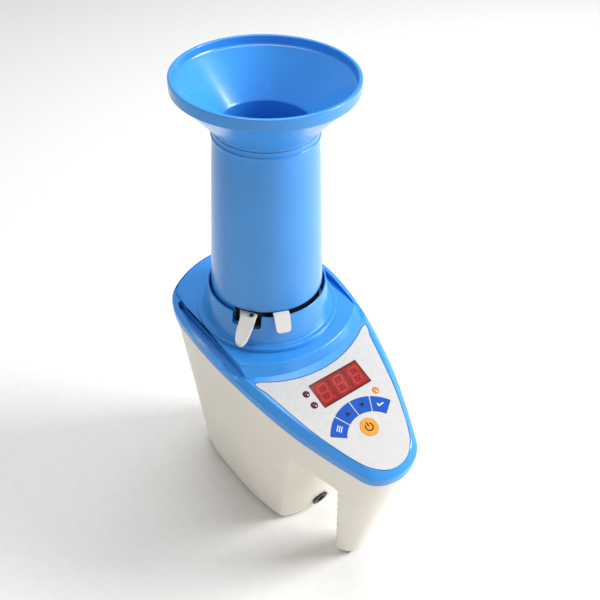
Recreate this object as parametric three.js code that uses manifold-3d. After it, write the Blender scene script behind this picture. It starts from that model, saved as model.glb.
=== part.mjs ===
// Grain moisture meter: a boat-shaped housing on a tub and one raked leg, a blue top cover with a
// sloping key panel, and a lift-off loading tower that drops the grain into a measuring cell.
// Millimetres, +Z up, the key panel faces -Y. The origin is under the middle of the bounding box.
import * as THREE from 'three';
import { mergeVertices } from 'three/addons/utils/BufferGeometryUtils.js';
import Module from 'manifold-3d';

const wasm = await Module();
wasm.setup();

// ---------------------------------------------------------------- driving dimensions
const GAP = 0.3; // clearance between pieces that touch
const TOWER_Y = 38.15; // the tower stands this far behind the middle of the part
const FLOOR = 1.2; // underside of the housing above the feet
const WALL = 2.6; // moulded wall of the housing
const SHELL = 2.5; // moulded wall of the top cover
const SKIRT = 6.2; // height of the cover's side skirt
const ROUND = 36; // facets of the large round pieces
const SMALL = 16; // facets of the small round pieces

const PANEL = { slope: 0.304, y: -100, z: 146.83, proud: 3.5, bevel: 4.5 };
const DECK = { half: 49.3, z: 169.6, slope: 0.03, foot: [52.3, 111.5], top: [17, 74] };
const DISC = { radius: 49, z: 171.9 };
const COLLAR = { foot: 44.6, top: 40.4, bore: 38.6, shoulder: 32.5, seat: 176.3, z: 192.2 };
const TUBE = { top: 31.7, bottom: 37.8, wall: 2.2, z0: 180.3, z1: 307.7 };
const RIM = { radius: 54.2, z: 340, band: 6.4 };
const GATE = { hole: 22.5, radius: 37.4, z: 176.6, door: 24, hingeY: 26.5, hingeZ: 174 };
const CELL = { inner: 33.2, outer: 34.4, flange: 38.2, z0: 58, z1: 171 };
const LEVER = { radius: 39.9, at: -50, points: -70.6 };
const KEYS = { x: -0.8, v: -22.8, inner: 20.5, outer: 31.3, half: 55.7, line: 1.3 };
const POWER = { x: -0.1, v: -12.3, radius: 6.2 };
const WINDOW = { x: 2.6, v: 22.3, width: 39.9, height: 18.3 };
const DIGIT = { pitch: 13.3, width: 12.9 };
const LAMPS = { red_x: -22.2, red_v: [27.3, 18.3], amber: [20.3, 6.1], radius: 2.4 };
const SOCKET = { z: 14, radius: 7 };
const BATTERY = { radius: 7.1, length: 50.4, pitch: 15.2, z: 12.8 };
const TUB_FRONT = { y: 7, radius: 73, lean: 0.216 };

// half outlines from the rear to the nose, mirrored by outline()
const COVER_EDGE = [[0, 68], [26, 62.3], [47.5, 48.3], [57, 30], [59.6, 5], [58, -25], [52, -58],
  [43, -89], [34.3, -110], [27, -125.5], [20.8, -136.6], [13, -141.8], [0, -144.3]];
const BODY_FOOT = [[0, 54], [18, 51.5], [31, 43.5], [36, 28], [37, 0], [36, -32], [31, -58],
  [25, -76], [17, -97], [12.3, -107.8], [9, -113.6], [6, -116], [0, -117]];
const BODY_TOP = [[0, 68], [26, 61.5], [47, 48], [57, 28], [60, 0], [58.5, -32], [53, -64],
  [46, -93], [38.1, -113.1], [30.6, -130.7], [24, -143.9], [15.2, -150.3], [0, -153.5]];
const BODY_TOP_Z = 170;
// height of the cover's outer edge along the length, behind the panel's own slope
const EDGE_HEIGHT = [[-62, 154.9], [-40, 161], [-20, 165.2], [-2, 168.2], [16, 169.5], [75, 169.8]];
// finger channel beside the raised deck: its outer side, rear to front, and the height of its floor
const CHANNEL = {
  side: [[51, 37], [55.2, 21], [57.2, 4], [56.8, -12], [55.2, -30], [52, -46]],
  floor: [[-60, 160.6], [-18, 160.6], [-2, 163.2], [16, 164.5], [60, 164.6]],
};

// ---------------------------------------------------------------- solids
const V3 = (x, y, z) => new THREE.Vector3(x, y, z);
const rad = THREE.MathUtils.degToRad;

// a closed geometry as a solid that can be joined and cut
function solid(geometry) {
  let shape = geometry.clone();
  shape.deleteAttribute('normal');
  shape.deleteAttribute('uv');
  shape = mergeVertices(shape, 1e-4);
  const corners = shape.attributes.position.array;
  const faces = [];
  let volume = 0;
  const [a, b, c] = [V3(), V3(), V3()];
  for (let i = 0; i < shape.index.count; i += 3) {
    const tri = [0, 1, 2].map((k) => shape.index.getX(i + k));
    if (tri[0] === tri[1] || tri[1] === tri[2] || tri[2] === tri[0]) continue;
    a.fromArray(corners, tri[0] * 3);
    b.fromArray(corners, tri[1] * 3);
    c.fromArray(corners, tri[2] * 3);
    volume += a.dot(b.cross(c));
    faces.push(tri);
  }
  if (volume < 0) faces.forEach((tri) => tri.reverse());
  return new wasm.Manifold(new wasm.Mesh({
    numProp: 3,
    vertProperties: new Float32Array(corners),
    triVerts: new Uint32Array(faces.flat()),
  }));
}

function geometryOf(body) {
  const mesh = body.getMesh();
  const geometry = new THREE.BufferGeometry();
  geometry.setAttribute('position', new THREE.BufferAttribute(new Float32Array(mesh.vertProperties), 3));
  geometry.setIndex(new THREE.BufferAttribute(new Uint32Array(mesh.triVerts), 1));
  geometry.computeVertexNormals();
  return geometry;
}

const join = (...bodies) => bodies.reduce((sum, body) => sum.add(body));
const cut = (body, ...tools) => tools.reduce((rest, tool) => rest.subtract(tool), body);

// box between two corners
function box(low, high) {
  const size = low.map((v, i) => high[i] - v);
  const geometry = new THREE.BoxGeometry(...size);
  geometry.translate(...low.map((v, i) => v + size[i] / 2));
  return solid(geometry);
}

// upright round rod from z0 to z1, or a cone with a second radius at the top
function rod(x, y, z0, z1, radius, sides = SMALL, topRadius = radius) {
  const geometry = new THREE.CylinderGeometry(topRadius, radius, z1 - z0, sides);
  geometry.rotateX(Math.PI / 2);
  geometry.translate(x, y, (z0 + z1) / 2);
  return solid(geometry);
}

// round rod along X
function crossRod(x0, x1, y, z, radius, sides = SMALL) {
  const geometry = new THREE.CylinderGeometry(radius, radius, x1 - x0, sides);
  geometry.rotateZ(Math.PI / 2);
  geometry.translate((x0 + x1) / 2, y, z);
  return solid(geometry);
}

// ring or pot turned about Z from [radius, z] points
function turned(points, sides = ROUND) {
  const closed = points[0][0] > 0 ? [...points, points[0]] : points;
  const geometry = new THREE.LatheGeometry(closed.map(([r, z]) => new THREE.Vector2(r, z)), sides);
  geometry.rotateX(Math.PI / 2);
  return solid(geometry);
}

// upright prism of a plan outline
function prism(points, z0, z1) {
  const shape = new THREE.Shape(points.map(([x, y]) => new THREE.Vector2(x, y)));
  const geometry = new THREE.ExtrudeGeometry(shape, { depth: z1 - z0, bevelEnabled: false });
  geometry.translate(0, 0, z0);
  return solid(geometry);
}

// prism along X of a side view outline of [y, z] points
function sidePrism(points, x0, x1) {
  const shape = new THREE.Shape(points.map(([y, z]) => new THREE.Vector2(y, z)));
  const geometry = new THREE.ExtrudeGeometry(shape, { depth: x1 - x0, bevelEnabled: false });
  geometry.applyMatrix4(new THREE.Matrix4().makeBasis(V3(0, 1, 0), V3(0, 0, 1), V3(1, 0, 0)));
  geometry.translate(x0, 0, 0);
  return solid(geometry);
}

// skin over rings of equal length, closed by a flat cap at each end
function loft(rings) {
  const count = rings[0].length;
  const corners = rings.flat().flatMap(([x, y, z]) => [x, y, z]);
  const faces = [];
  for (let r = 0; r + 1 < rings.length; r += 1) {
    for (let i = 0; i < count; i += 1) {
      const [a, b] = [r * count + i, r * count + ((i + 1) % count)];
      faces.push([a, b, b + count], [a, b + count, a + count]);
    }
  }
  const cap = (ring) => THREE.ShapeUtils.triangulateShape(ring.map(([x, y]) => new THREE.Vector2(x, y)), []);
  cap(rings[0]).forEach(([a, b, c]) => faces.push([c, b, a]));
  const last = (rings.length - 1) * count;
  cap(rings.at(-1)).forEach(([a, b, c]) => faces.push([a + last, b + last, c + last]));
  const geometry = new THREE.BufferGeometry();
  geometry.setAttribute('position', new THREE.Float32BufferAttribute(corners, 3));
  geometry.setIndex(faces.flat());
  return solid(geometry);
}

// smooth closed plan outline through a half outline and its mirror image, counter-clockwise
function outline(half, count) {
  const left = half.map(([x, y]) => V3(-x, y, 0));
  const right = half.slice(1, -1).reverse().map(([x, y]) => V3(x, y, 0));
  const curve = new THREE.CatmullRomCurve3([...left, ...right], true, 'centripetal');
  return curve.getPoints(count).slice(0, -1).map((p) => [p.x, p.y]);
}

// outline moved inwards, or outwards with a negative distance
function inset(points, distance) {
  return points.map(([x, y], i) => {
    const before = points[(i + points.length - 1) % points.length];
    const after = points[(i + 1) % points.length];
    const [tx, ty] = [after[0] - before[0], after[1] - before[1]];
    const length = Math.hypot(tx, ty);
    return [x - (ty / length) * distance, y + (tx / length) * distance];
  });
}

const raise = (points, height) => points.map(([x, y]) => [x, y, height(y)]);
const flip = (points) => points.map(([x, y]) => [-x, y]).reverse();
// plan point at a radius from the tower axis, turned from -Y towards +X
const polar = (radius, degrees) => [radius * Math.sin(rad(degrees)), -radius * Math.cos(rad(degrees))];

// ---------------------------------------------------------------- scene graph
const finishes = {
  blue: { color: 0x3f94ea, roughness: 0.28, metalness: 0 },
  cream: { color: 0xece6d8, roughness: 0.42, metalness: 0 },
  white: { color: 0xeeece6, roughness: 0.4, metalness: 0 },
  overlay: { color: 0xdcdad6, roughness: 0.5, metalness: 0 },
  key: { color: 0x0a4cc8, roughness: 0.45, metalness: 0 },
  orange: { color: 0xf79a3a, roughness: 0.45, metalness: 0 },
  red: { color: 0x7a100c, roughness: 0.15, metalness: 0 },
  black: { color: 0x161616, roughness: 0.5, metalness: 0 },
  rubber: { color: 0x2b2b2b, roughness: 0.85, metalness: 0 },
  steel: { color: 0xbfc2c4, roughness: 0.3, metalness: 1 },
  aluminium: { color: 0xc9cbcc, roughness: 0.38, metalness: 1 },
  brass: { color: 0xc9a24a, roughness: 0.35, metalness: 1 },
  board: { color: 0x1f6b3a, roughness: 0.5, metalness: 0 },
};

function piece(parent, name, body, finish) {
  const mesh = new THREE.Mesh(geometryOf(body), new THREE.MeshStandardMaterial(finishes[finish]));
  mesh.name = name;
  parent.add(mesh);
  return mesh;
}

const part = new THREE.Group();
const tower = new THREE.Group(); // origin on the tower axis, at the floor
tower.position.set(0, TOWER_Y, 0);
const panel = new THREE.Group(); // x across, y up the slope, z out of the key panel
panel.position.set(0, PANEL.y, PANEL.z);
panel.rotation.x = Math.atan(PANEL.slope);
tower.add(panel);
part.add(tower);

const panelMatrix = new THREE.Matrix4().compose(
  V3(0, PANEL.y, PANEL.z),
  new THREE.Quaternion().setFromAxisAngle(V3(1, 0, 0), Math.atan(PANEL.slope)),
  V3(1, 1, 1),
);
// a solid made in the panel's frame, moved into the tower's frame
const fromPanel = (body) => body.transform(panelMatrix.toArray());

const panelZ = (y) => PANEL.z + PANEL.slope * (y - PANEL.y);
const deckZ = (y) => DECK.z + DECK.slope * y;

// ---------------------------------------------------------------- key panel outlines
// sector of a ring about the key circle's centre, in the panel's frame
function sector(inner, outer, from, to, steps = 6) {
  const arc = (radius, a, b) => Array.from({ length: steps + 1 }, (_, i) => {
    const angle = rad(a + ((b - a) * i) / steps);
    return [KEYS.x + radius * Math.sin(angle), KEYS.v + radius * Math.cos(angle)];
  });
  return [...arc(outer, from, to), ...arc(inner, to, from)];
}

const keyAngle = (KEYS.half * 2) / 4;
const keyShape = (n, grow, growRadius = grow) => {
  const from = -KEYS.half + n * keyAngle;
  const trim = THREE.MathUtils.radToDeg((KEYS.line / 2 - grow) / ((KEYS.inner + KEYS.outer) / 2));
  return sector(KEYS.inner - growRadius, KEYS.outer + growRadius, from + trim, from + keyAngle - trim);
};
const windowBox = (grow, z0, z1) => {
  const [w, h] = [WINDOW.width / 2 + grow, WINDOW.height / 2 + grow];
  return box([WINDOW.x - w, WINDOW.v - h, z0], [WINDOW.x + w, WINDOW.v + h, z1]);
};
const lampSpots = [...LAMPS.red_v.map((v) => [LAMPS.red_x, v]), LAMPS.amber];

// light panel sheet: concave rear edge, straight tapering sides and a round nose
function overlayOutline() {
  const toPanel = ([x, y]) => [x, (y - PANEL.y) * Math.hypot(1, PANEL.slope)];
  const half = [[46.6, -51.8], [44, -61], [39.5, -78], [33.6, -98], [27, -114.5], [22.5, -124],
    [17.5, -132], [9, -138.9], [0, -140.8]];
  const side = new THREE.SplineCurve(half.map(([x, y]) => new THREE.Vector2(x, y))).getPoints(16);
  const right = side.map((p) => [p.x, p.y]);
  const rear = Array.from({ length: 11 }, (_, i) => {
    const x = -46 + (92 * i) / 10;
    return [x, 19.9 - Math.sqrt(84.5 ** 2 - x ** 2)];
  });
  const loop = [...rear, ...right, ...right.slice(0, -1).reverse().map(([x, y]) => [-x, y])];
  return loop.map(toPanel).reverse();
}

// ---------------------------------------------------------------- top cover
const coverEdge = outline(COVER_EDGE, 52);

// everything under the cover's outer surface, moved in by t
function coverForm(t) {
  const edge = [[-160, panelZ(-160) - PANEL.proud], ...EDGE_HEIGHT].map(([y, z]) => [y, z - t]);
  const base = prism(inset(coverEdge, t), 60, 200)
    .intersect(sidePrism([[80, 60], [80, edge.at(-1)[1]], ...edge.reverse(), [-160, 60]], -80, 80));
  const low = inset(coverEdge, t + 0.1);
  const high = inset(coverEdge, t + PANEL.bevel);
  const front = loft([
    raise(low, (y) => panelZ(y) - PANEL.proud - 3 - t),
    raise(low, (y) => panelZ(y) - PANEL.proud - t),
    raise(high, (y) => panelZ(y) - t),
  ]).intersect(box([-80, -160, 60], [80, -46, 200]));
  return join(base, front, deckForm(t));
}

// raised deck behind the panel with its curved, sloping front face
function deckForm(t) {
  const half = DECK.half - t;
  const arc = ([centre, radius]) => Array.from({ length: 13 }, (_, i) => {
    const x = -half + (2 * half * i) / 12;
    return [x, centre - Math.sqrt((radius - t) ** 2 - x ** 2)];
  });
  const back = [[half, 75], [-half, 75]];
  const foot = [...arc(DECK.foot), ...back];
  const top = [...arc(DECK.top), ...back];
  return loft([
    raise(foot, (y) => Math.min(panelZ(y), panelZ(-47)) - 8 - t),
    raise(foot, (y) => Math.min(panelZ(y), panelZ(-47)) - t),
    raise(top, (y) => deckZ(y) - t),
  ]).intersect(prism(inset(coverEdge, 1.6 + t), 60, 200));
}

// the two finger channels, grown by t
function channels(t) {
  const plan = inset([...CHANNEL.side, [DECK.half, -46], [DECK.half, 37]], t);
  const floor = CHANNEL.floor.map(([y, z]) => [y, z - t]);
  const above = sidePrism([...floor, [60, 190], [-60, 190]], -80, 80);
  return join(prism(plan, 140, 190), prism(flip(plan), 140, 190)).intersect(above);
}

// plan wedge about the tower axis
const wedge = (from, to, inner, outer, z0, z1) => prism(
  [polar(inner, from), polar(outer, from), polar(outer, (from + to) / 2), polar(outer, to), polar(inner, to)],
  z0,
  z1,
);

const coverPosts = [[40, 38, 150], [-40, 38, 150], [0, -136, 124]];
const boardPosts = [[26, 33], [-26, 33], [0, -23]];
const BOARD_TOP = -10.4; // display board surface below the panel surface

function topCover() {
  const skin = [[-160, panelZ(-160) - PANEL.proud], ...EDGE_HEIGHT].map(([y, z]) => [y, z - SKIRT]);
  const aboveSkirt = sidePrism([...skin, [80, skin.at(-1)[1]], [80, 260], [-160, 260]], -80, 80);
  const disc = turned([[30, 165], [DISC.radius, 165], [DISC.radius, DISC.z - 0.8],
    [DISC.radius - 0.8, DISC.z], [30, DISC.z]]);
  let cover = join(cut(coverForm(0), channels(0)), disc);
  const hollow = cut(coverForm(SHELL), channels(2.2));
  cover = cut(cover, hollow);
  coverPosts.forEach(([x, y, z]) => {
    cover = join(cover, rod(x, y, z, y > 0 ? 169.4 : panelZ(y) - 1.5, 3.6, 12));
  });
  boardPosts.forEach(([x, v]) => {
    cover = join(cover, fromPanel(rod(x, v, BOARD_TOP + GAP, -1.5, 3, 12)));
    cover = join(cover, fromPanel(rod(x, v, BOARD_TOP - 3.4, BOARD_TOP + 1, 1, 8)));
  });
  coverPosts.forEach(([x, y, z]) => {
    cover = cut(cover, rod(x, y, z - 1, z + 8, 1.3, 8));
  });
  // panel recess with the window, key and lamp openings
  const openings = [
    prism(inset(overlayOutline(), -GAP), -1.1, 8),
    windowBox(GAP, -12, 2),
    prism(sector(KEYS.inner - 0.4, KEYS.outer + 0.4, -KEYS.half, KEYS.half, 18), -12, 2),
    rod(POWER.x, POWER.v, -12, 2, POWER.radius + 0.4, 24),
    ...lampSpots.map(([x, v]) => rod(x, v, -12, 2, LAMPS.radius + GAP, 12)),
  ];
  cover = cut(cover, ...openings.map(fromPanel));
  // hole for the collar and the cell's flange, and the lever shaft's clearance
  return cut(
    cover,
    rod(0, 0, 100, 190, COLLAR.bore + GAP, ROUND),
    rod(...polar(LEVER.radius, LEVER.at), CELL.z1, 190, 2.5, 12),
  ).intersect(aboveSkirt.add(box([-60, -160, 100], [60, 60, 165]).intersect(coverInside())));
}

// ring that the loading tower drops into: seat shoulder, wall, lever opening and shaft hole
function collarRing() {
  const { foot, top, bore, shoulder, seat, z } = COLLAR;
  const low = CELL.z1 + GAP;
  return cut(
    turned([[shoulder, low], [bore, low], [bore, DISC.z + GAP], [foot, DISC.z + GAP], [top, z - 0.9],
      [top - 0.9, z], [bore + 0.2, z], [bore + 0.2, seat], [shoulder, seat]]),
    wedge(-69, -40.5, 36, 60, 183.5, 200),
    wedge(-63, -43, 30, bore + 0.2, low - 1, 190),
    rod(...polar(LEVER.radius, LEVER.at), low - 1, 190, 2.9, 16),
  );
}

// space inside the skirt, where the cover's posts may hang below its lower edge
function coverInside() {
  return prism(inset(coverEdge, 5.2), 100, 170);
}

// ---------------------------------------------------------------- lower housing
const BODY_POINTS = 48;
const footEdge = outline(BODY_FOOT, BODY_POINTS);
const topEdge = outline(BODY_TOP, BODY_POINTS);

const bodyForm = (t, z0) => {
  const at = (z) => footEdge.map(([x, y], i) => {
    const k = (z - FLOOR) / (BODY_TOP_Z - FLOOR);
    return [x + (topEdge[i][0] - x) * k, y + (topEdge[i][1] - y) * k];
  });
  return loft([z0, BODY_TOP_Z].map((z) => raise(inset(at(z), t), () => z)));
};

// archway between the tub and the leg, less the bulging tub front, both moved by t
function archForm(t) {
  const side = [[-30, -5], [-104.4 - t, -5], [-104.4 - t, FLOOR], [-114 - t, 97 + t * 0.8],
    [-71, 111.5 + t * 1.1], [-30, 125 + t]];
  const { y, radius, lean } = TUB_FRONT;
  const front = rod(0, y, -6, 140, radius - 6 * lean - t, 60, radius + 140 * lean - t);
  return cut(sidePrism(side, -80, 80), front);
}

const basePosts = [[12, 44], [-12, 44], [19, -54], [-19, -54]];
const LUG = 5.7; // thickness of the lugs that carry the cover screws

function socketPlace(body) {
  const { y, radius, lean } = TUB_FRONT;
  const turn = new THREE.Matrix4().makeRotationX(Math.PI / 2 + Math.atan(lean));
  const move = new THREE.Matrix4().makeTranslation(0, y - radius - lean * SOCKET.z, SOCKET.z);
  return body.transform(move.multiply(turn).toArray());
}

function lowerHousing() {
  const skin = [[-160, panelZ(-160) - PANEL.proud], ...EDGE_HEIGHT].map(([y, z]) => [y, z - SKIRT - GAP]);
  const below = sidePrism([[-160, -5], [80, -5], [80, skin.at(-1)[1]], ...skin.reverse()], -80, 80);
  const outer = cut(bodyForm(0, FLOOR), archForm(0)).intersect(below);
  const cavity = cut(bodyForm(WALL, FLOOR), archForm(WALL));
  const legFloor = box([-40, -170, 0], [40, -80, 9]);
  let ribs = legFloor;
  basePosts.forEach(([x, y]) => {
    const reach = y > 0 ? [y - 4, y + 12] : [y - 10, y + 4];
    ribs = join(ribs, box([x - 4, reach[0], 3.9], [x + 4, reach[1], 22]));
  });
  coverPosts.forEach(([x, y, z]) => {
    // the lug reaches from the screw to the wall beside or in front of it
    const reach = [Math.max(x, 0) ? 25 : 5, x < 0 ? 25 : 5, x ? 5 : 25];
    ribs = join(ribs, box([x - reach[1], y - reach[2], z - GAP - LUG], [x + reach[0], y + 5, z - GAP]));
  });
  const inside = cut(bodyForm(0.4, FLOOR), archForm(0.4)).intersect(below);
  const housing = join(cut(outer, cavity), ribs.intersect(inside));
  const holes = [
    ...basePosts.map(([x, y]) => rod(x, y, 0, 16, 1.3, 8)),
    ...coverPosts.map(([x, y, z]) => rod(x, y, z - 12, z + 2, 1.8, 8)),
    socketPlace(rod(0, 0, -8, 8, 5.8, 20)),
    box([-7.3, -114.3, -1], [7.3, -107.2, 2.7]),
  ];
  return cut(housing, ...holes);
}

// ---------------------------------------------------------------- base and batteries
const HATCH = { x: 28, y: 31 };
const feet = [[25.2, 37.6], [-25.2, 37.6], [24, -42], [-24, -42]];

function basePlate() {
  const plan = prism(inset(footEdge, WALL + 0.5), FLOOR, 3.6)
    .intersect(rod(0, TUB_FRONT.y, 0, 10, TUB_FRONT.radius - WALL - 0.5, 48));
  return cut(
    plan,
    box([-HATCH.x, -HATCH.y, 0], [HATCH.x, HATCH.y, 10]),
    ...basePosts.map(([x, y]) => rod(x, y, 0, 10, 1.7, 8)),
    ...basePosts.map(([x, y]) => rod(x, y, 0, 2.2, 3, 12)),
    ...feet.map(([x, y]) => rod(x, y, 0, 2.7, 4.8, 20)),
  );
}

const boardCorners = [[26, 22], [-26, 22], [26, -22], [-26, -22]];
const BOARD_Z = 40.3;

function batteryHolder() {
  let holder = cut(
    box([-29, -32, 4.2], [29, 32, 22.4]),
    box([-27.2, -30.4, 0], [27.2, 30.4, 20.6]),
  );
  boardCorners.forEach(([x, y]) => {
    holder = join(holder, box([x - 3, y - 3, 21], [x + 3, y + 3, BOARD_Z - GAP]));
  });
  return holder;
}

const batteryCover = () => box(
  [-HATCH.x + 0.4, -HATCH.y + 0.4, FLOOR],
  [HATCH.x - 0.4, HATCH.y - 0.4, 3.4],
);

// barrel socket with its centre pin
const dcSocket = () => socketPlace(turned([[0, -10], [5.5, -10], [5.5, GAP], [SOCKET.radius, GAP],
  [SOCKET.radius, 1.6], [3.3, 1.6], [3.3, -7], [1, -7], [1, 0], [0, 0]], 16));

// pan-head screw pointing up, head underneath, tip at the top
function screw(x, y, headZ, length, shank, head) {
  return join(rod(x, y, headZ, headZ + 1.5, head, 12), rod(x, y, headZ + 1, headZ + length, shank, 8));
}

// ---------------------------------------------------------------- measuring cell
const PROBE_Z = 74;
const cellCup = () => cut(
  turned([[6, CELL.z0], [CELL.outer, CELL.z0], [CELL.outer, CELL.z1 - 1.8], [CELL.flange, CELL.z1 - 1.8],
    [CELL.flange, CELL.z1], [CELL.inner, CELL.z1], [CELL.inner, CELL.z0 + 1.4], [6, CELL.z0 + 1.4]]),
  crossRod(20, 40, 0, PROBE_Z, 2),
);

const centreElectrode = () => turned([[0, 46.5], [2.8, 46.5], [2.8, 62.3], [8.5, 62.3], [8.5, 104],
  [0, 121]], 32);

// bush that keeps the electrode clear of the cup
const cellInsulator = () => turned([[3.2, 52.5], [9, 52.5], [9, 57.7], [5.6, 57.7], [5.6, 59.7],
  [9, 59.7], [9, 62], [3.2, 62]], 24);

function cellCradle() {
  let cradle = turned([[18, 54.4], [36.8, 54.4], [36.8, 66], [34.8, 66], [34.8, 57.6], [18, 57.6]], 40);
  boardCorners.forEach(([x, y]) => {
    cradle = join(cradle, box([x - 2.5, y - 2.5, 42.3], [x + 2.5, y + 2.5, 55]));
  });
  return cradle;
}

// ---------------------------------------------------------------- loading tower
const funnel = () => turned([[27, 298], [29.1, 298], [29.1, TUBE.z1 + GAP], [TUBE.top - 0.2, TUBE.z1 + GAP],
  [TUBE.top - 0.2, 309.2], [RIM.radius - 1.2, RIM.z - RIM.band - 0.6], [RIM.radius, RIM.z - RIM.band],
  [RIM.radius, RIM.z - 0.7], [RIM.radius - 0.7, RIM.z], [RIM.radius - 1.9, RIM.z],
  [RIM.radius - 2.3, RIM.z - 5], [RIM.radius - 3.6, RIM.z - 5.6], [28.2, 310.2], [27, 309]], 40);

function loadingTube() {
  const { top, bottom, wall, z0, z1 } = TUBE;
  const tube = turned([[bottom, z0], [bottom, 193], [33.3, 282], [top + 0.1, 303.4], [top + 0.7, 304.1],
    [top, 305.4], [top, z1], [top - wall, z1], [top - wall, 300], [bottom - wall, 193],
    [bottom - wall, z0]]);
  const ear = wedge(-57, -43, 36.2, 42.6, 184.5, 186.3);
  return cut(join(tube, ear), rod(...polar(LEVER.radius, LEVER.at), 180, 190, 2, 12));
}

function gatePlate() {
  const { hole, radius, z, hingeY, hingeZ } = GATE;
  let plate = turned([[hole, z], [radius, z], [radius, z + 3.4], [34.6, z + 3.4], [hole, z + 1.6]]);
  [-10.5, 10.5].forEach((x) => {
    plate = join(plate, box([x - 1.6, hingeY - 3, hingeZ - 2.4], [x + 1.6, hingeY + 3, z + 0.4]));
  });
  return cut(plate, crossRod(-14, 14, hingeY, hingeZ, 1.4, 12));
}

function dropDoor() {
  const { door, hingeY, hingeZ } = GATE;
  const [z0, z1] = [hingeZ + 0.4, hingeZ + 2.1];
  const tongue = prism([polar(20, -55), polar(31.4, -53.5), polar(31.4, -46.5), polar(20, -45)], z0, z1);
  return cut(
    join(
      rod(0, 0, z0, z1, door, 40),
      box([-4.6, 20, z0], [4.6, hingeY, z1]),
      crossRod(-4.6, 4.6, hingeY, hingeZ, 2.1, 12),
      tongue,
    ),
    crossRod(-10, 10, hingeY, hingeZ, 1.4, 12),
  );
}

// coil of the spring that shuts the door, round the pin beside the door's knuckle
const doorSpring = () => cut(
  crossRod(5, 8.5, GATE.hingeY, GATE.hingeZ, 2.3, 12),
  crossRod(4, 9.5, GATE.hingeY, GATE.hingeZ, 1.4, 12),
);

// finger lever: flat hub over the tube's ear, sloping tab, and a shaft down to the door catch
function releaseLever() {
  const rounded = Array.from({ length: 9 }, (_, i) => {
    const angle = rad(-90 + (180 * i) / 8);
    return [9 + 4.6 * Math.cos(angle), 5.2 * Math.sin(angle)];
  });
  const plan = [[-3.4, -3.4], [1, -4.2], [4, -4.2], [5.5, -5.2], ...rounded, [2.5, 5.2], [-1, 4.4],
    [-3.4, 2]];
  const strip = sidePrism([[-4, 186.8], [4.2, 186.8], [13.4, 176.8], [15, 178], [5.2, 188.6],
    [-4, 188.6]], -7, 7);
  const turn = new THREE.Matrix4().makeRotationZ(rad(LEVER.points));
  const outward = new THREE.Matrix4().makeBasis(V3(0, -1, 0), V3(1, 0, 0), V3(0, 0, 1));
  const tab = prism(plan, 170, 195).transform(outward.toArray())
    .intersect(strip.transform(new THREE.Matrix4().makeRotationZ(Math.PI).toArray()))
    .transform(turn.toArray());
  const nose = prism([[0, -1.6], [7.9, -1.6], [7.9, 1.6], [0, 1.6]], 171.8, 174)
    .transform(new THREE.Matrix4().makeRotationZ(rad(LEVER.at + 90)).toArray());
  const [x, y] = polar(LEVER.radius, LEVER.at);
  const lever = join(tab, rod(0, 0, 171.8, 188, 1.6, 12), nose).translate([x, y, 0]);
  // the hub stays clear of the tube all through its swing
  const swings = [0, 4, 8, 12, 16, 20, 23].map((angle) => {
    const turnBack = new THREE.Matrix4().makeRotationZ(rad(-angle));
    return rod(0, 0, 185, 192, TUBE.bottom + GAP, ROUND).translate([-x, -y, 0])
      .transform(turnBack.toArray()).translate([x, y, 0]);
  });
  return cut(lever, rod(x, y, 184, 192, 0.9, 8), ...swings);
}

function leverScrew() {
  const [x, y] = polar(LEVER.radius, LEVER.at);
  return join(rod(x, y, 188.9, 190.2, 1.8, 12), rod(x, y, 184.6, 189, 0.6, 8));
}

// fixed tab beside the lever: out over the collar's edge and down
function thumbRest() {
  const strip = sidePrism([[-38.1, 192.7], [-41.6, 192.7], [-46.9, 183.6], [-48.3, 184.4], [-42.6, 194.4],
    [-38.1, 194.4]], -5.2, 5.2);
  return strip.transform(new THREE.Matrix4().makeRotationZ(rad(-22.2)).toArray());
}

// ---------------------------------------------------------------- key panel pieces
function panelOverlay() {
  return cut(
    prism(overlayOutline(), -0.8, 0),
    windowBox(GAP, -3, 2),
    ...[0, 1, 2, 3].map((n) => prism(keyShape(n, GAP), -3, 2)),
    rod(POWER.x, POWER.v, -3, 2, POWER.radius + GAP, 24),
    ...lampSpots.map(([x, v]) => rod(x, v, -3, 2, LAMPS.radius + GAP, 16)),
  );
}

const switchSpots = [0, 1, 2, 3].map((n) => {
  const angle = rad(-KEYS.half + (n + 0.5) * keyAngle);
  const radius = (KEYS.inner + KEYS.outer) / 2;
  return [KEYS.x + radius * Math.sin(angle), KEYS.v + radius * Math.cos(angle)];
}).concat([[POWER.x, POWER.v]]);

// key cap that stands in its opening, with a flange under the cover and a stem for its switch
function arcKey(n) {
  return join(
    prism(keyShape(n, 0), -4.2, 0.15),
    prism(keyShape(n, 0, 1), -5.2, -3.9),
    rod(...switchSpots[n], -6.4, -5, 1.8, 10),
  );
}

const powerKey = () => join(
  rod(POWER.x, POWER.v, -4.2, 0.2, POWER.radius, 24),
  rod(POWER.x, POWER.v, -5.2, -3.9, POWER.radius + 1, 24),
  rod(POWER.x, POWER.v, -6.4, -5, 1.8, 10),
);

const tactSwitch = ([x, v]) => join(
  box([x - 3, v - 3, BOARD_TOP + GAP], [x + 3, v + 3, -7.6]),
  rod(x, v, -8, -6.9, 1.6, 10),
);

function displayBoard() {
  const plan = [[-31, 38], [-31, 2], [-22, -19], [-9, -27], [9, -27], [22, -19], [31, 2], [31, 38]];
  return cut(
    prism(plan, BOARD_TOP - 1.6, BOARD_TOP),
    ...boardPosts.map(([x, v]) => rod(x, v, -14, -8, 1.3, 8)),
  );
}

const digitModule = (x) => box(
  [x - DIGIT.width / 2, WINDOW.v - 8.8, BOARD_TOP + GAP],
  [x + DIGIT.width / 2, WINDOW.v + 8.8, -1.6],
);

const lamp = ([x, v]) => turned([[0, BOARD_TOP + GAP], [LAMPS.radius, BOARD_TOP + GAP], [LAMPS.radius, -1],
  [LAMPS.radius * 0.8, -0.1], [LAMPS.radius * 0.4, 0.3], [0, 0.4]], 16).translate([x, v, 0]);

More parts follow.
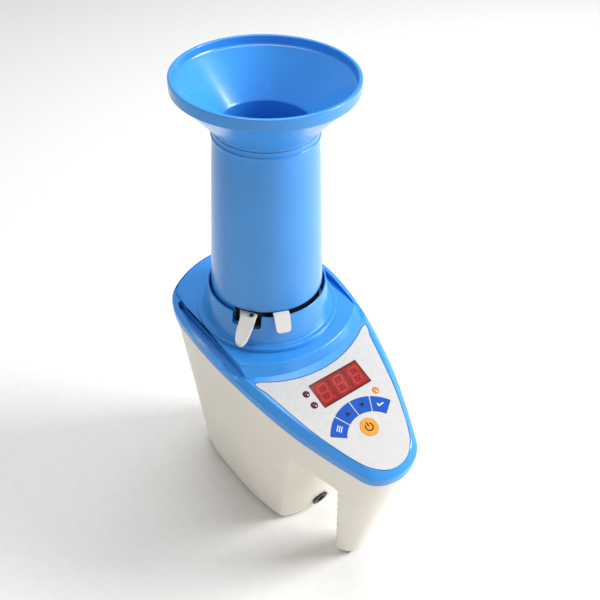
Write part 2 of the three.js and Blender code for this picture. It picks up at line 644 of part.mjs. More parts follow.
// ---------------------------------------------------------------- assembly
piece(tower, 'lower_housing', lowerHousing(), 'cream');
piece(tower, 'top_cover', topCover(), 'blue');
piece(tower, 'collar_ring', collarRing(), 'blue');
piece(tower, 'base_plate', basePlate(), 'cream');
piece(tower, 'battery_cover', batteryCover(), 'cream');
piece(tower, 'battery_holder', batteryHolder(), 'black');
[-1.5, -0.5, 0.5, 1.5].forEach((step, i) => {
  const half = BATTERY.length / 2;
  const cell = crossRod(-half, half, step * BATTERY.pitch, BATTERY.z, BATTERY.radius, 20);
  piece(tower, `battery_${i + 1}`, cell, 'steel');
});
[['left', -1], ['right', 1]].forEach(([side, sign]) => {
  const ends = [sign * 25.7, sign * 26.5].sort((a, b) => a - b);
  piece(tower, `battery_contact_${side}`, box([ends[0], -29, 6], [ends[1], 29, 19]), 'brass');
});
basePosts.forEach(([x, y], i) => {
  piece(tower, `base_screw_${i + 1}`, screw(x, y, 0.6, 12, 1, 2.6), 'steel');
});
feet.forEach(([x, y], i) => {
  piece(tower, `foot_${i + 1}`, rod(x, y, 0, 2.4, 4.4, 20), 'rubber');
});
piece(tower, 'leg_foot', box([-7, -114, 0], [7, -107.5, 2.4]), 'rubber');
coverPosts.forEach(([x, y, z], i) => {
  piece(tower, `cover_screw_${i + 1}`, screw(x, y, z - GAP * 2 - LUG - 1.5, 13, 1, 2.8), 'steel');
});
piece(tower, 'main_board', box([-30, -33, BOARD_Z], [30, 33, BOARD_Z + 1.6]), 'board');
piece(tower, 'cell_cradle', cellCradle(), 'black');
piece(tower, 'cell_cup', cellCup(), 'aluminium');
piece(tower, 'cell_insulator', cellInsulator(), 'white');
piece(tower, 'centre_electrode', centreElectrode(), 'aluminium');
piece(tower, 'electrode_nut', turned([[3.1, 48.4], [5.5, 48.4], [5.5, 52.2], [3.1, 52.2]], 12), 'steel');
piece(tower, 'temperature_probe', crossRod(22, 39, 0, PROBE_Z, 1.6, 12), 'steel');
piece(tower, 'dc_socket', dcSocket(), 'black');

piece(panel, 'panel_overlay', panelOverlay(), 'overlay');
piece(panel, 'display_window', windowBox(0, -1.2, -0.1), 'red');
piece(panel, 'display_board', displayBoard(), 'board');
[-1, 0, 1].forEach((step) => {
  const x = WINDOW.x + step * DIGIT.pitch;
  piece(panel, `digit_${step + 2}`, digitModule(x), 'black');
});
['lamp_upper', 'lamp_lower', 'lamp_amber'].forEach((name, i) => {
  piece(panel, name, lamp(lampSpots[i]), i < 2 ? 'red' : 'orange');
});
['key_select', 'key_up', 'key_down', 'key_confirm'].forEach((name, n) => {
  piece(panel, name, arcKey(n), 'key');
});
piece(panel, 'key_power', powerKey(), 'orange');
switchSpots.forEach((spot, i) => piece(panel, `switch_${i + 1}`, tactSwitch(spot), 'black'));

piece(tower, 'funnel', funnel(), 'blue');
piece(tower, 'loading_tube', loadingTube(), 'blue');
piece(tower, 'gate_plate', gatePlate(), 'white');
piece(tower, 'drop_door', dropDoor(), 'white');
piece(tower, 'door_pin', crossRod(-12.4, 12.4, GATE.hingeY, GATE.hingeZ, 1.1, 12), 'steel');
piece(tower, 'door_spring', doorSpring(), 'steel');
piece(tower, 'release_lever', releaseLever(), 'white');
piece(tower, 'lever_screw', leverScrew(), 'steel');
piece(tower, 'thumb_rest', thumbRest(), 'white');

export default part;
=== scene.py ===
"""Grain moisture meter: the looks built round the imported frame, in metres, +Z up, key panel towards -Y."""

import math

import bmesh
import bpy
from bpy.props import FloatProperty, FloatVectorProperty, PointerProperty
from bpy.types import Operator, Panel, PropertyGroup
from mathutils import Matrix, Vector


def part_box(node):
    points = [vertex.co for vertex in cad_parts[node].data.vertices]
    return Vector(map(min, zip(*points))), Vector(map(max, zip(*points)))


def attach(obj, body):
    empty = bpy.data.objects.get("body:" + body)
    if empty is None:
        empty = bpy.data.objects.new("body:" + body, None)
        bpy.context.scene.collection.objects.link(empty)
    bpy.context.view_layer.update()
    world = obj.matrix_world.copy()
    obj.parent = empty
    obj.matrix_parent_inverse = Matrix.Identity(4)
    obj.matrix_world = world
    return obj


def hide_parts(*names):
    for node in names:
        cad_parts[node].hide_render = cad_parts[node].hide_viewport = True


bl_info = {
    "name": "Grain Moisture Meter",
    "version": (1, 0, 0),
    "blender": (4, 5, 0),
    "location": "View3D > Sidebar > Meter",
    "description": "Builds a bench grain moisture meter, piece by piece, with its stage",
    "category": "Object",
}

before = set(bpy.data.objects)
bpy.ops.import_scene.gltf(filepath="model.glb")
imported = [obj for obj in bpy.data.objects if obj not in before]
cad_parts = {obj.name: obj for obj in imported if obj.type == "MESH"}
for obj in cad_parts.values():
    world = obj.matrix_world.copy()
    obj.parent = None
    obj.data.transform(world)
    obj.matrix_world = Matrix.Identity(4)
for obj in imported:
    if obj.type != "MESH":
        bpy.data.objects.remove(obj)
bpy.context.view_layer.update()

MM = 0.001  # outlines below are in millimetres, measured from the tower's axis and the bench
TUBE_LOW, TUBE_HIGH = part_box("loading_tube")
FUNNEL_LOW, FUNNEL_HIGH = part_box("funnel")
TOWER = Vector(((TUBE_LOW.x + TUBE_HIGH.x) / 2, (TUBE_LOW.y + TUBE_HIGH.y) / 2, 0))
TUBE_FOOT_RADIUS = (TUBE_HIGH.x - TUBE_LOW.x) / 2 / MM
RIM_RADIUS = (FUNNEL_HIGH.x - FUNNEL_LOW.x) / 2 / MM
RIM_TOP = FUNNEL_HIGH.z / MM
COLLAR_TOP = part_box("collar_ring")[1].z / MM

# half outlines from the rear to the nose
COVER_EDGE = [(0, 68), (26, 62.3), (47.5, 48.3), (57, 30), (59.6, 5), (58, -25), (52, -58),
              (43, -89), (34.3, -110), (27, -125.5), (20.8, -136.6), (13, -141.8), (0, -144.3)]
BODY_FOOT = [(0, 54), (18, 51.5), (31, 43.5), (36, 28), (37, 0), (36, -32), (31, -58),
             (25, -76), (17, -97), (12.3, -107.8), (9, -113.6), (6, -116), (0, -117)]
BODY_TOP = [(0, 68), (26, 61.5), (47, 48), (57, 28), (60, 0), (58.5, -32), (53, -64),
            (46, -93), (38.1, -113.1), (30.6, -130.7), (24, -143.9), (15.2, -150.3), (0, -153.5)]
BODY_FLOOR, BODY_CEILING = 1.2, 170
# height of the cover's outer edge along its length, behind the key panel
EDGE_HEIGHT = [(-62, 154.9), (-40, 161), (-20, 165.2), (-2, 168.2), (16, 169.5), (75, 169.8)]
CHANNEL_SIDE = [(51, 37), (55.2, 21), (57.2, 4), (56.8, -12), (55.2, -30), (50.5, -48)]
CHANNEL_FLOOR = [(-50, 162.4), (-40, 161.2), (-25, 161.4), (-10, 162.3), (10, 163.1), (40, 163.4)]
PANEL_Y, PANEL_Z = -100, 146.83  # a point of the key panel's middle line
DECK_HALF, DECK_Z, DECK_SLOPE = 49.3, 169.6, 0.03
DECK_FOOT, DECK_TOP = (52.3, 111.5), (17, 74)  # centre and radius of the deck front's two arcs
DISC_RADIUS, DISC_Z = 49, 171.9
COLLAR_FOOT, COLLAR_RADIUS, COLLAR_BORE = 44.6, 40.6, 39.3
COLLAR_SHOULDER, COLLAR_SEAT = 32.5, 176.3
CELL_FLANGE, CELL_TOP = 38.6, 171.3
TUB_FRONT = (7, 73, 0.216)  # centre, radius at the bench and lean of the tub's bulging front
LEVER_RADIUS, LEVER_AT = 39.9, -50
LEVER_Z, LEVER_FOLD, LEVER_FALL = 192.4, 41.8, 1.2  # hub height, fold's distance out, slope beyond
LEVER_TURN = -41.8
LEVER_PLAN = [(-33.2, -16.3, 0), (-37.5, -22.5, 0.8), (-43, -25.6, 0.6), (-45.8, -28, 2.2),
              (-44, -32.4, 2.6), (-39.8, -32.9, 2.2), (-33.9, -31, 1), (-30.1, -29.1, 1), (-23.8, -24.7, 0)]
# radius of the black ring of painted shade inside the tube's foot; height of the tube's cut-away front edge
SHADE_RING_RADIUS, TUBE_EDGE = 36.3, 194.4
REST_AT = -22.2
KEY_X, KEY_V, KEY_INNER, KEY_OUTER, KEY_HALF, KEY_LINE = -0.8, -22.8, 20.5, 31.3, 55.7, 0.9
POWER_X, POWER_V, POWER_RADIUS = -0.1, -12.3, 6.2
WINDOW_X, WINDOW_V, WINDOW_W, WINDOW_H = 2.6, 22.3, 39.9, 18.3
DIGIT_PITCH, DIGIT_WIDTH = 13.3, 12.9
LAMP_SPOTS = {"lamp_upper": (-22.2, 27.3), "lamp_lower": (-22.2, 18.3), "lamp_amber": (20.3, 6.1)}
LAMP_RADIUS = 2.4
GAP = 0.3  # clearance between pieces that touch
PLAN_STEPS = 8  # samples per span of the cover's and housing's outlines
SIDES, FINE_SIDES = 128, 160  # facets of the round pieces
CLEAR = 200  # height of a cutting tool that ends above the collar
PANEL_CUT, SHEET_CUT = (-12, 2), (-3, 2)  # heights of tools that go through the cover and the sheet


# ------------------------------------------------------------------ sizes and colours to change
def length_property(name, words, metres):
    return FloatProperty(name=name, description=words, default=metres, unit="LENGTH", subtype="DISTANCE")


class MeterSizes(PropertyGroup):
    """Sizes of the moulded pieces"""
    skirt: length_property("Skirt", "Height of the cover's side skirt", 0.0062)
    rise: length_property("Border rise", "How far the key panel stands above the cover's edge", 0.0035)
    border: length_property("Border slope", "Width of the slope round the key panel", 0.0045)
    slope: FloatProperty(name="Panel slope", description="Tilt of the key panel",
                         default=math.atan(0.304), subtype="ANGLE")
    edge: length_property("Edge round", "Radius along the cover's edges", 0.0008)
    wall: length_property("Cover wall", "Thickness of the cover's wall", 0.0025)
    body_wall: length_property("Body wall", "Thickness of the housing's wall", 0.0026)
    rim_band: length_property("Rim band", "Height of the upright band round the funnel", 0.0064)
    body_grain: length_property("Body mesh size", "Size of the housing's mesh faces", 0.0010)


def colour_property(name, words, red, green, blue):
    return FloatVectorProperty(name=name, description=words, subtype="COLOR", size=3,
                               min=0, max=1, default=(red, green, blue))


class MeterColours(PropertyGroup):
    """Colours of the finishes, as linear values"""
    blue: colour_property("Blue", "Cover, tube and funnel", 0.042, 0.315, 0.83)
    cream: colour_property("Cream", "Housing", 0.84, 0.80, 0.71)
    white: colour_property("White", "Tabs and inner fittings", 0.86, 0.85, 0.81)
    film: colour_property("Panel film", "Printed film of the key panel", 0.60, 0.595, 0.585)
    key: colour_property("Key", "Arc keys", 0.002, 0.078, 0.47)
    orange: colour_property("Power key", "Round power key", 0.93, 0.33, 0.03)
    window: colour_property("Window", "Display window", 0.16, 0.004, 0.003)
    segment: colour_property("Segments", "Bars of the digits", 0.46, 0.014, 0.009)
    black: colour_property("Black", "Printed marks and socket", 0.012, 0.012, 0.013)


def sizes():
    return bpy.context.scene.meter_sizes


def colours():
    return bpy.context.scene.meter_colours


# ------------------------------------------------------------------ plan outlines, in millimetres
def curve_through(points):
    """Height as a smooth function of a rising position, held level beyond both ends."""
    spots = [p[0] for p in points]
    values = [p[1] for p in points]
    last = len(points) - 1

    def slope(i):
        a, b = max(i - 1, 0), min(i + 1, last)
        return (values[b] - values[a]) / (spots[b] - spots[a])

    def at(x):
        if x <= spots[0]:
            return values[0]
        if x >= spots[-1]:
            return values[-1]
        i = max(k for k in range(last) if spots[k] <= x)
        span = spots[i + 1] - spots[i]
        t = (x - spots[i]) / span
        ends = values[i] * (1 + 2 * t) * (1 - t) ** 2 + values[i + 1] * t * t * (3 - 2 * t)
        return ends + span * (slope(i) * t * (1 - t) ** 2 + slope(i + 1) * t * t * (t - 1))

    return at


def smooth_step(low, high, x):
    t = min(max((x - low) / (high - low), 0), 1)
    return t * t * (3 - 2 * t)


def closed_curve(points, steps):
    """Centripetal curve through a closed list of points, with steps samples per span."""
    count = len(points)
    places = [Vector((*p, 0)) for p in points]
    loop = []
    for i in range(count):
        p0, p1, p2, p3 = (places[(i + k - 1) % count] for k in range(4))
        d0, d1, d2 = ((b - a).length ** 0.5 for a, b in ((p0, p1), (p1, p2), (p2, p3)))
        out = ((p1 - p0) / d0 - (p2 - p0) / (d0 + d1) + (p2 - p1) / d1) * d1
        into = ((p2 - p1) / d1 - (p3 - p1) / (d1 + d2) + (p3 - p2) / d2) * d1
        for k in range(steps):
            t = k / steps
            p = p1 + out * t + (3 * (p2 - p1) - 2 * out - into) * t ** 2
            p += (2 * (p1 - p2) + out + into) * t ** 3
            loop.append((p.x, p.y))
    return loop


def outline(half):
    """Closed outline from a half one and its mirror image; point i mirrors point -i."""
    left = [(-x, y) for x, y in half]
    right = [(x, y) for x, y in half[-2:0:-1]]
    return closed_curve(left + right, PLAN_STEPS)


def inset(points, distance):
    """Outline moved inwards, or outwards with a negative distance."""
    moved = []
    for i, (x, y) in enumerate(points):
        (ax, ay), (bx, by) = points[i - 1], points[(i + 1) % len(points)]
        tx, ty = bx - ax, by - ay
        length = math.hypot(tx, ty)
        moved.append((x - ty / length * distance, y + tx / length * distance))
    return moved


def flip(points):
    return [(-x, y) for x, y in reversed(points)]


def polar(radius, degrees):
    """Plan point at a radius from the tower's axis, turned from -Y towards +X."""
    a = math.radians(degrees)
    return radius * math.sin(a), -radius * math.cos(a)


def arc(centre, radius, start, end, steps):
    """Points of an arc, angles in degrees from the first axis."""
    angles = [math.radians(start + (end - start) * i / steps) for i in range(steps + 1)]
    return [(centre[0] + radius * math.cos(a), centre[1] + radius * math.sin(a)) for a in angles]


def rounded(corners, steps=5):
    """Polygon with rounded corners: each corner is (x, y, radius)."""
    loop = []
    for i, (x, y, radius) in enumerate(corners):
        here = Vector((x, y))
        before = (Vector(corners[i - 1][:2]) - here).normalized()
        after = (Vector(corners[(i + 1) % len(corners)][:2]) - here).normalized()
        if radius == 0:
            loop.append((x, y))
            continue
        half = before.angle(after) / 2
        reach = radius / math.tan(half)
        start, end = here + before * reach, here + after * reach
        middle = here + (before + after).normalized() * (radius / math.sin(half))
        for k in range(steps + 1):
            p = middle + (start.lerp(end, k / steps) - middle).normalized() * radius
            loop.append((p.x, p.y))
    return loop


def rectangle(x, y, half_width, half_height, corner):
    signs = ((-1, -1), (1, -1), (1, 1), (-1, 1))
    return rounded([(x + a * half_width, y + b * half_height, corner) for a, b in signs])


def quarter_round(radius, steps):
    """Distances of a rounded edge from its upright side and from its flat side, from one to the other."""
    turn = [math.radians(90 / steps * k) for k in range(steps + 1)]
    return [(radius * (1 - math.cos(a)), radius * (1 - math.sin(a))) for a in turn]


def panel_z(y):
    return PANEL_Z + math.tan(sizes().slope) * (y - PANEL_Y)


def deck_z(y):
    return DECK_Z + DECK_SLOPE * y


behind_panel = curve_through(EDGE_HEIGHT)


def edge_z(y):
    """Height of the cover's outer edge."""
    front = panel_z(y) - sizes().rise / MM
    return front + (behind_panel(y) - front) * smooth_step(-66, -50, y)


# ------------------------------------------------------------------ solids
def make_object(corners, faces):
    """Closed mesh from corners in millimetres from the tower's axis."""
    mesh = bpy.data.meshes.new("form")
    places = [(x * MM + TOWER.x, y * MM + TOWER.y, z * MM) for x, y, z in corners]
    mesh.from_pydata(places, [], faces)
    shape = bmesh.new()
    shape.from_mesh(mesh)
    bmesh.ops.recalc_face_normals(shape, faces=shape.faces)
    shape.to_mesh(mesh)
    shape.free()
    return place_mesh(mesh)


def place_mesh(mesh):
    obj = bpy.data.objects.new("form", mesh)
    bpy.context.scene.collection.objects.link(obj)
    return obj


def discard(obj):
    mesh = obj.data
    bpy.data.objects.remove(obj)
    bpy.data.meshes.remove(mesh)


def loft(rings, strips=False):
    """Skin over rings of equal length. Ends close as one face each, or in strips from side to side
    when point i of a ring mirrors point -i."""
    count = len(rings[0])
    corners = [p for ring in rings for p in ring]
    faces = []
    for r in range(len(rings) - 1):
        for i in range(count):
            a, b = r * count + i, r * count + (i + 1) % count
            faces.append((a, b, b + count, a + count))
    for start in (0, (len(rings) - 1) * count):
        if not strips:
            faces.append(tuple(range(start, start + count)))
            continue
        half = count // 2
        faces.append((start, start + 1, start + count - 1))
        faces += [(start + i, start + i + 1, start + count - i - 1, start + count - i)
                  for i in range(1, half - 1)]
        faces.append((start + half - 1, start + half, start + half + 1))
    return make_object(corners, faces)


def prism(points, low, high):
    return loft([[(x, y, z) for x, y in points] for z in (low, high)])


def lathe(profile, sides=SIDES, centre=(0, 0)):
    """Solid turned about an upright axis from a closed (radius, z) profile, or one that starts and
    ends on the axis."""
    corners, faces, rows = [], [], []
    for radius, z in profile:
        turn = 1 if radius < 1e-6 else sides
        rows.append((len(corners), turn))
        for k in range(turn):
            a = 2 * math.pi * k / sides
            corners.append((centre[0] + radius * math.cos(a), centre[1] + radius * math.sin(a), z))
    on_axis = profile[0][0] < 1e-6
    pairs = list(zip(rows, rows[1:] + ([] if on_axis else rows[:1])))
    for (a, a_count), (b, b_count) in pairs:
        for k in range(sides):
            n = (k + 1) % sides
            ring = [a + k % a_count, a + n % a_count, b + n % b_count, b + k % b_count]
            face = tuple(dict.fromkeys(ring))
            if len(face) > 2:
                faces.append(face)
    return make_object(corners, faces)


def side_prism(points, x0, x1):
    """Prism along X of a side outline of (y, z) points."""
    return loft([[(x, y, z) for y, z in points] for x in (x0, x1)])


def block(low, high):
    (x0, y0, z0), (x1, y1, z1) = low, high
    return prism([(x0, y0), (x1, y0), (x1, y1), (x0, y1)], z0, z1)


def drum(centre, radius, low, high, sides=48):
    return lathe([(0, low), (radius, low), (radius, high), (0, high)], sides, centre)


def apply_modifiers(obj):
    graph = bpy.context.evaluated_depsgraph_get()
    mesh = bpy.data.meshes.new_from_object(obj.evaluated_get(graph))
    obj.modifiers.clear()
    old, obj.data = obj.data, mesh
    bpy.data.meshes.remove(old)


def combine(target, operation, *tools):
    """Joins or cuts the target with each tool, which is used up."""
    for tool in tools:
        modifier = target.modifiers.new("combine", "BOOLEAN")
        modifier.operation = operation
        modifier.solver = "MANIFOLD"
        modifier.object = tool
        apply_modifiers(target)
        discard(tool)
    if not target.data.polygons:
        raise RuntimeError(f"{target.name} has no faces left after {operation}")
    return target


def cut(target, *tools):
    return combine(target, "DIFFERENCE", *tools)


def join(target, *tools):
    return combine(target, "UNION", *tools)


def keep(target, *tools):
    return combine(target, "INTERSECT", *tools)


def panel_matrix():
    """From the key panel's own axes (x across, y up the slope, z out of it) to the bench's."""
    move = Matrix.Translation((TOWER.x, TOWER.y + PANEL_Y * MM, PANEL_Z * MM))
    turn = Matrix.Rotation(sizes().slope, 4, "X")
    return move @ turn @ Matrix.Translation((-TOWER.x, -TOWER.y, 0))


def on_panel(obj):
    obj.data.transform(panel_matrix())
    return obj


def turn_about(obj, x, y, degrees):
    """Turns a form about an upright line through a plan point."""
    centre = Matrix.Translation((TOWER.x + x * MM, TOWER.y + y * MM, 0))
    obj.data.transform(centre @ Matrix.Rotation(math.radians(degrees), 4, "Z") @ centre.inverted())
    return obj


def shade(obj, crease=32):
    """Smooth faces with sharp edges above the crease angle, and flat faces kept flat."""
    obj.data.shade_smooth()
    obj.data.set_sharp_from_angle(angle=math.radians(crease))
    weigh = obj.modifiers.new("weigh", "WEIGHTED_NORMAL")
    weigh.keep_sharp = True
    return obj


def soften(obj, width):
    """Rounds the edges of the tabs by a width in millimetres."""
    bevel = obj.modifiers.new("round", "BEVEL")
    bevel.width = width * MM
    bevel.segments = 3
    bevel.limit_method = "ANGLE"
    bevel.angle_limit = math.radians(35)
    bevel.harden_normals = False
    apply_modifiers(obj)
    return obj


def settle(obj, name, body, look, *nodes, slot):
    """Names a finished piece, gives it its finish and body, and hides the nodes it stands for."""
    obj.name = name
    obj.data.name = name
    obj.data.materials.clear()
    obj.data.materials.append(finish(look))
    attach(obj, body)
    if nodes:
        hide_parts(*nodes)


# ------------------------------------------------------------------ finishes
def scaled(colour, share):
    return tuple(min(c * share, 1) for c in colour)


class Finish:
    """A finish in the making: its material, its shader, and the steps that the finishes share."""

    def __init__(self, name):
        self.material = bpy.data.materials.new(name)
        self.material.use_nodes = True
        self.tree = self.material.node_tree
        self.shader = self.tree.nodes["Principled BSDF"]
        self.place = self.tree.nodes.new("ShaderNodeTexCoord").outputs["Object"]

    def add(self, kind, socket, source):
        """Node of a kind, with one input linked to a source."""
        node = self.tree.nodes.new("ShaderNode" + kind)
        self.tree.links.new(source, node.inputs[socket])
        return node

    def drive(self, socket, source):
        self.tree.links.new(source, self.shader.inputs[socket])

    def noise(self, scale, detail=3, roughness=0.5, place=None):
        noise = self.add("TexNoise", "Vector", self.place if place is None else place)
        noise.inputs["Scale"].default_value = scale
        noise.inputs["Detail"].default_value = detail
        noise.inputs["Roughness"].default_value = roughness
        return noise.outputs["Fac"]

    def tint(self, source, low, high, dark, light):
        """Base colour from dark to light over a stretch of the source."""
        ramp = self.add("ValToRGB", "Fac", source)
        for element, position, colour in zip(ramp.color_ramp.elements, (low, high), (dark, light)):
            element.position = position
            element.color = (*colour, 1)
        self.drive("Base Color", ramp.outputs["Color"])
        return ramp.outputs["Color"]

    def gloss(self, source, low, high):
        """Roughness spread between two values by a source about one half."""
        spread = self.add("MapRange", "Value", source)
        spread.inputs["From Min"].default_value = 0.3
        spread.inputs["From Max"].default_value = 0.7
        spread.inputs["To Min"].default_value = low
        spread.inputs["To Max"].default_value = high
        self.drive("Roughness", spread.outputs["Result"])

    def bump(self, height, strength, distance):
        bump = self.add("Bump", "Height", height)
        bump.inputs["Strength"].default_value = strength
        bump.inputs["Distance"].default_value = distance
        self.drive("Normal", bump.outputs["Normal"])


def moulded(name, colour, rough, grain=900, depth=0.00003, drift=0.05, coat=0.0, inner=0.0):
    """Injection-moulded plastic: slow drift of tone, patchy gloss and a very fine skin."""
    make = Finish(name)
    make.tint(make.noise(22, 2), 0.3, 0.7, scaled(colour, 1 - drift), scaled(colour, 1 + drift))
    make.gloss(make.noise(75, 4, 0.6), rough * 0.86, rough * 1.16)
    make.bump(make.noise(grain), 0.25, depth)
    make.shader.inputs["Coat Weight"].default_value = coat
    make.shader.inputs["Coat Roughness"].default_value = 0.12
    make.shader.inputs["Subsurface Weight"].default_value = inner
    make.shader.inputs["Subsurface Radius"].default_value = (0.004, 0.003, 0.002)
    return make.material


def printed(name, colour, rough=0.42):
    """Printed polyester film: fine even texture over the ink."""
    make = Finish(name)
    make.tint(make.noise(240), 0.25, 0.75, scaled(colour, 0.96), scaled(colour, 1.04))
    make.gloss(make.noise(60, 2), rough * 0.9, rough * 1.1)
    pebble = make.add("TexVoronoi", "Vector", make.place)
    pebble.inputs["Scale"].default_value = 2600
    make.bump(pebble.outputs["Distance"], 0.12, 0.00004)
    make.shader.inputs["Specular IOR Level"].default_value = 0.22
    return make.material


def lamp_and_painted_glow(name, colour, glow, rough=0.12):
    """Tinted clear plastic glowing over a glossy face: lamp light in lenses and bars, painted light in the
    window and digit faces.
    """
    make = Finish(name)
    tone = make.tint(make.noise(320, 2), 0.3, 0.7, scaled(colour, 0.82), colour)
    make.drive("Emission Color", tone)
    make.shader.inputs["Emission Strength"].default_value = glow
    make.gloss(make.noise(45), rough * 0.7, rough * 1.4)
    make.shader.inputs["Coat Weight"].default_value = 0.6
    make.shader.inputs["Coat Roughness"].default_value = 0.06
    return make.material


def metal(name, colour, rough, scale=260, stretch=(1, 1, 12)):
    """Worked metal with fine tool lines."""
    make = Finish(name)
    drawn = make.add("Mapping", "Vector", make.place)
    drawn.inputs["Scale"].default_value = stretch
    lines = make.noise(scale, 4, place=drawn.outputs["Vector"])
    make.tint(lines, 0.3, 0.7, scaled(colour, 0.86), colour)
    make.gloss(lines, rough * 0.8, rough * 1.3)
    make.shader.inputs["Metallic"].default_value = 1
    make.bump(lines, 0.2, 0.00005)
    return make.material


def rubber(name):
    """Dusty black rubber with fine pits."""
    make = Finish(name)
    dust = make.noise(130, 5, 0.65)
    make.tint(dust, 0.35, 0.75, (0.014, 0.014, 0.015), (0.05, 0.05, 0.048))
    make.gloss(dust, 0.7, 0.92)
    make.bump(make.noise(1800, 2), 0.4, 0.00006)
    return make.material


def lacquered_board(name):
    """Circuit board: green lacquer over copper tracks."""
    make = Finish(name)
    tracks = make.add("TexBrick", "Vector", make.place)
    tracks.inputs["Color1"].default_value = (0.012, 0.11, 0.03, 1)
    tracks.inputs["Color2"].default_value = (0.016, 0.14, 0.04, 1)
    tracks.inputs["Mortar"].default_value = (0.05, 0.24, 0.08, 1)
    tracks.inputs["Scale"].default_value = 90
    tracks.inputs["Mortar Size"].default_value = 0.05
    make.drive("Base Color", tracks.outputs["Color"])
    make.gloss(make.noise(120), 0.25, 0.45)
    make.bump(tracks.outputs["Fac"], 0.3, 0.00004)
    return make.material


def battery_wrap(name):
    """Printed wrap with a pale band at one end and a darker body."""
    make = Finish(name)
    apart = make.add("SeparateXYZ", "Vector", make.place)
    band = make.tree.nodes.new("ShaderNodeMath")
    band.operation = "GREATER_THAN"
    band.inputs[1].default_value = 0.012
    make.tree.links.new(apart.outputs["X"], band.inputs[0])
    make.tint(band.outputs["Value"], 0.4, 0.6, (0.03, 0.03, 0.035), (0.62, 0.42, 0.16))
    scuff = make.noise(160, 4)
    make.gloss(scuff, 0.25, 0.4)
    make.bump(scuff, 0.1, 0.00004)
    return make.material


def finish(name):
    """The named finish, made the first time it is asked for."""
    known = bpy.data.materials.get(name)
    if known:
        return known
    c = colours()
    makers = {
        "glossy_blue": lambda: moulded(name, c.blue, 0.24, coat=0.25),
        "cream_body": lambda: moulded(name, c.cream, 0.38, 700, 0.00004, 0.025, inner=0.05),
        "white_fitting": lambda: moulded(name, c.white, 0.34, 1200, 0.00002, 0.03, inner=0.05),
        "black_plastic": lambda: moulded(name, c.black, 0.42, 800, 0.00005, 0.15),
        "panel_film": lambda: printed(name, c.film),
        "white_print": lambda: printed(name, (0.82, 0.83, 0.84)),
        "key_film": lambda: printed(name, c.key, 0.36),
        "power_film": lambda: printed(name, c.orange, 0.36),
        "black_print": lambda: printed(name, c.black, 0.4),
        # window and digit faces are no lamps: their glow, and the face's lighter copy of the window's red,
        # are painted light through the red plastic
        "red_window": lambda: lamp_and_painted_glow(name, c.window, 0.12),
        "red_face": lambda: lamp_and_painted_glow(name, scaled(c.window, 1.6), 0.2, 0.16),
        "red_segment": lambda: lamp_and_painted_glow(name, c.segment, 0.25, 0.2),
        "red_lamp": lambda: lamp_and_painted_glow(name, (0.13, 0.006, 0.012), 0.1),
        "amber_lamp": lambda: lamp_and_painted_glow(name, (0.80, 0.24, 0.012), 0.35),
        "plated_steel": lambda: metal(name, (0.62, 0.62, 0.63), 0.28),
        "dark_steel": lambda: metal(name, (0.09, 0.09, 0.095), 0.35),
        "turned_aluminium": lambda: metal(name, (0.78, 0.79, 0.80), 0.3, 180, (1, 1, 40)),
        "bright_brass": lambda: metal(name, (0.75, 0.52, 0.18), 0.3),
        "rubber_foot": lambda: rubber(name),
        "green_board": lambda: lacquered_board(name),
        "battery_print": lambda: battery_wrap(name),
    }
    return makers[name]()


# ------------------------------------------------------------------ top cover
def cover_rings(t, edge_round):
    """Rings of the cover's skin moved in by t: up the skirt, round the edge, up the border's slope."""
    s = sizes()
    rise, border = s.rise / MM, s.border / MM
    edge = outline(COVER_EDGE)

    def lift(y):
        return rise * (1 - smooth_step(-49, -36, y))

    e = edge_round
    profile = [(0.4, -s.skirt / MM, 0), (0, -s.skirt / MM + 0.4, 0), (0, -e, 0), (e * 0.1, -e * 0.5, 0.02)]
    profile += [(e * 0.4, -e * 0.15, 0.06), (e, 0, e / border), (border - 0.5, 0, 1 - 0.5 / border)]
    profile += [(border - 0.1, 0, 0.97), (border + 0.4, 0, 1), (border * 1.6, 0, 1)]
    return [[(x, y, edge_z(y) + drop + share * lift(y) - t) for x, y in inset(edge, d + t)]
            for d, drop, share in profile]


def deck_rings(t, edge_round):
    """Rings of the raised deck: a front face between two arcs, straight sides and a round rear."""
    half = DECK_HALF - t
    rear = [p for p in inset(outline(COVER_EDGE), 1.5 + t) if p[1] > 20 and abs(p[0]) < half - 1.5]
    rear.sort(key=lambda p: -p[0])

    def ring(centre, radius):
        steps = 40
        front = []
        for i in range(steps + 1):
            x = -half + 2 * half * i / steps
            front.append((x, centre - math.sqrt((radius - t) ** 2 - x ** 2)))
        right = [(half, front[-1][1] + (46 - front[-1][1]) * k / 5) for k in range(1, 5)]
        return front + right + rear + [(-x, y) for x, y in reversed(right)]

    foot, top = ring(*DECK_FOOT), ring(*DECK_TOP)
    reach = sizes().skirt / MM - 1
    low = [(x, y, edge_z(y) - reach - t) for x, y in foot]
    base = [(x, y, min(panel_z(y), edge_z(y) + 2) - t) for x, y in foot]
    rings = [low, base]
    for d, fall in quarter_round(edge_round, 5):
        rings.append([(x, y, deck_z(y) - fall - t) for x, y in inset(top, d)])
    return rings


def channel_plan(mirror):
    path = closed_curve(CHANNEL_SIDE + [(46, -50), (46, 37)], 6)
    side = path[:len(CHANNEL_SIDE) * 6 - 5]
    plan = side + [(46, side[-1][1]), (46, 37)]
    return flip(plan) if mirror else plan


def channel_pan(mirror=False):
    """Thicker stretch of the cover under a finger channel."""
    floor = curve_through(CHANNEL_FLOOR)
    plan = inset(channel_plan(mirror), -0.9)
    return loft([[(x, y, floor(y) - 1.2) for x, y in plan], [(x, y, floor(y) + 3) for x, y in plan]])


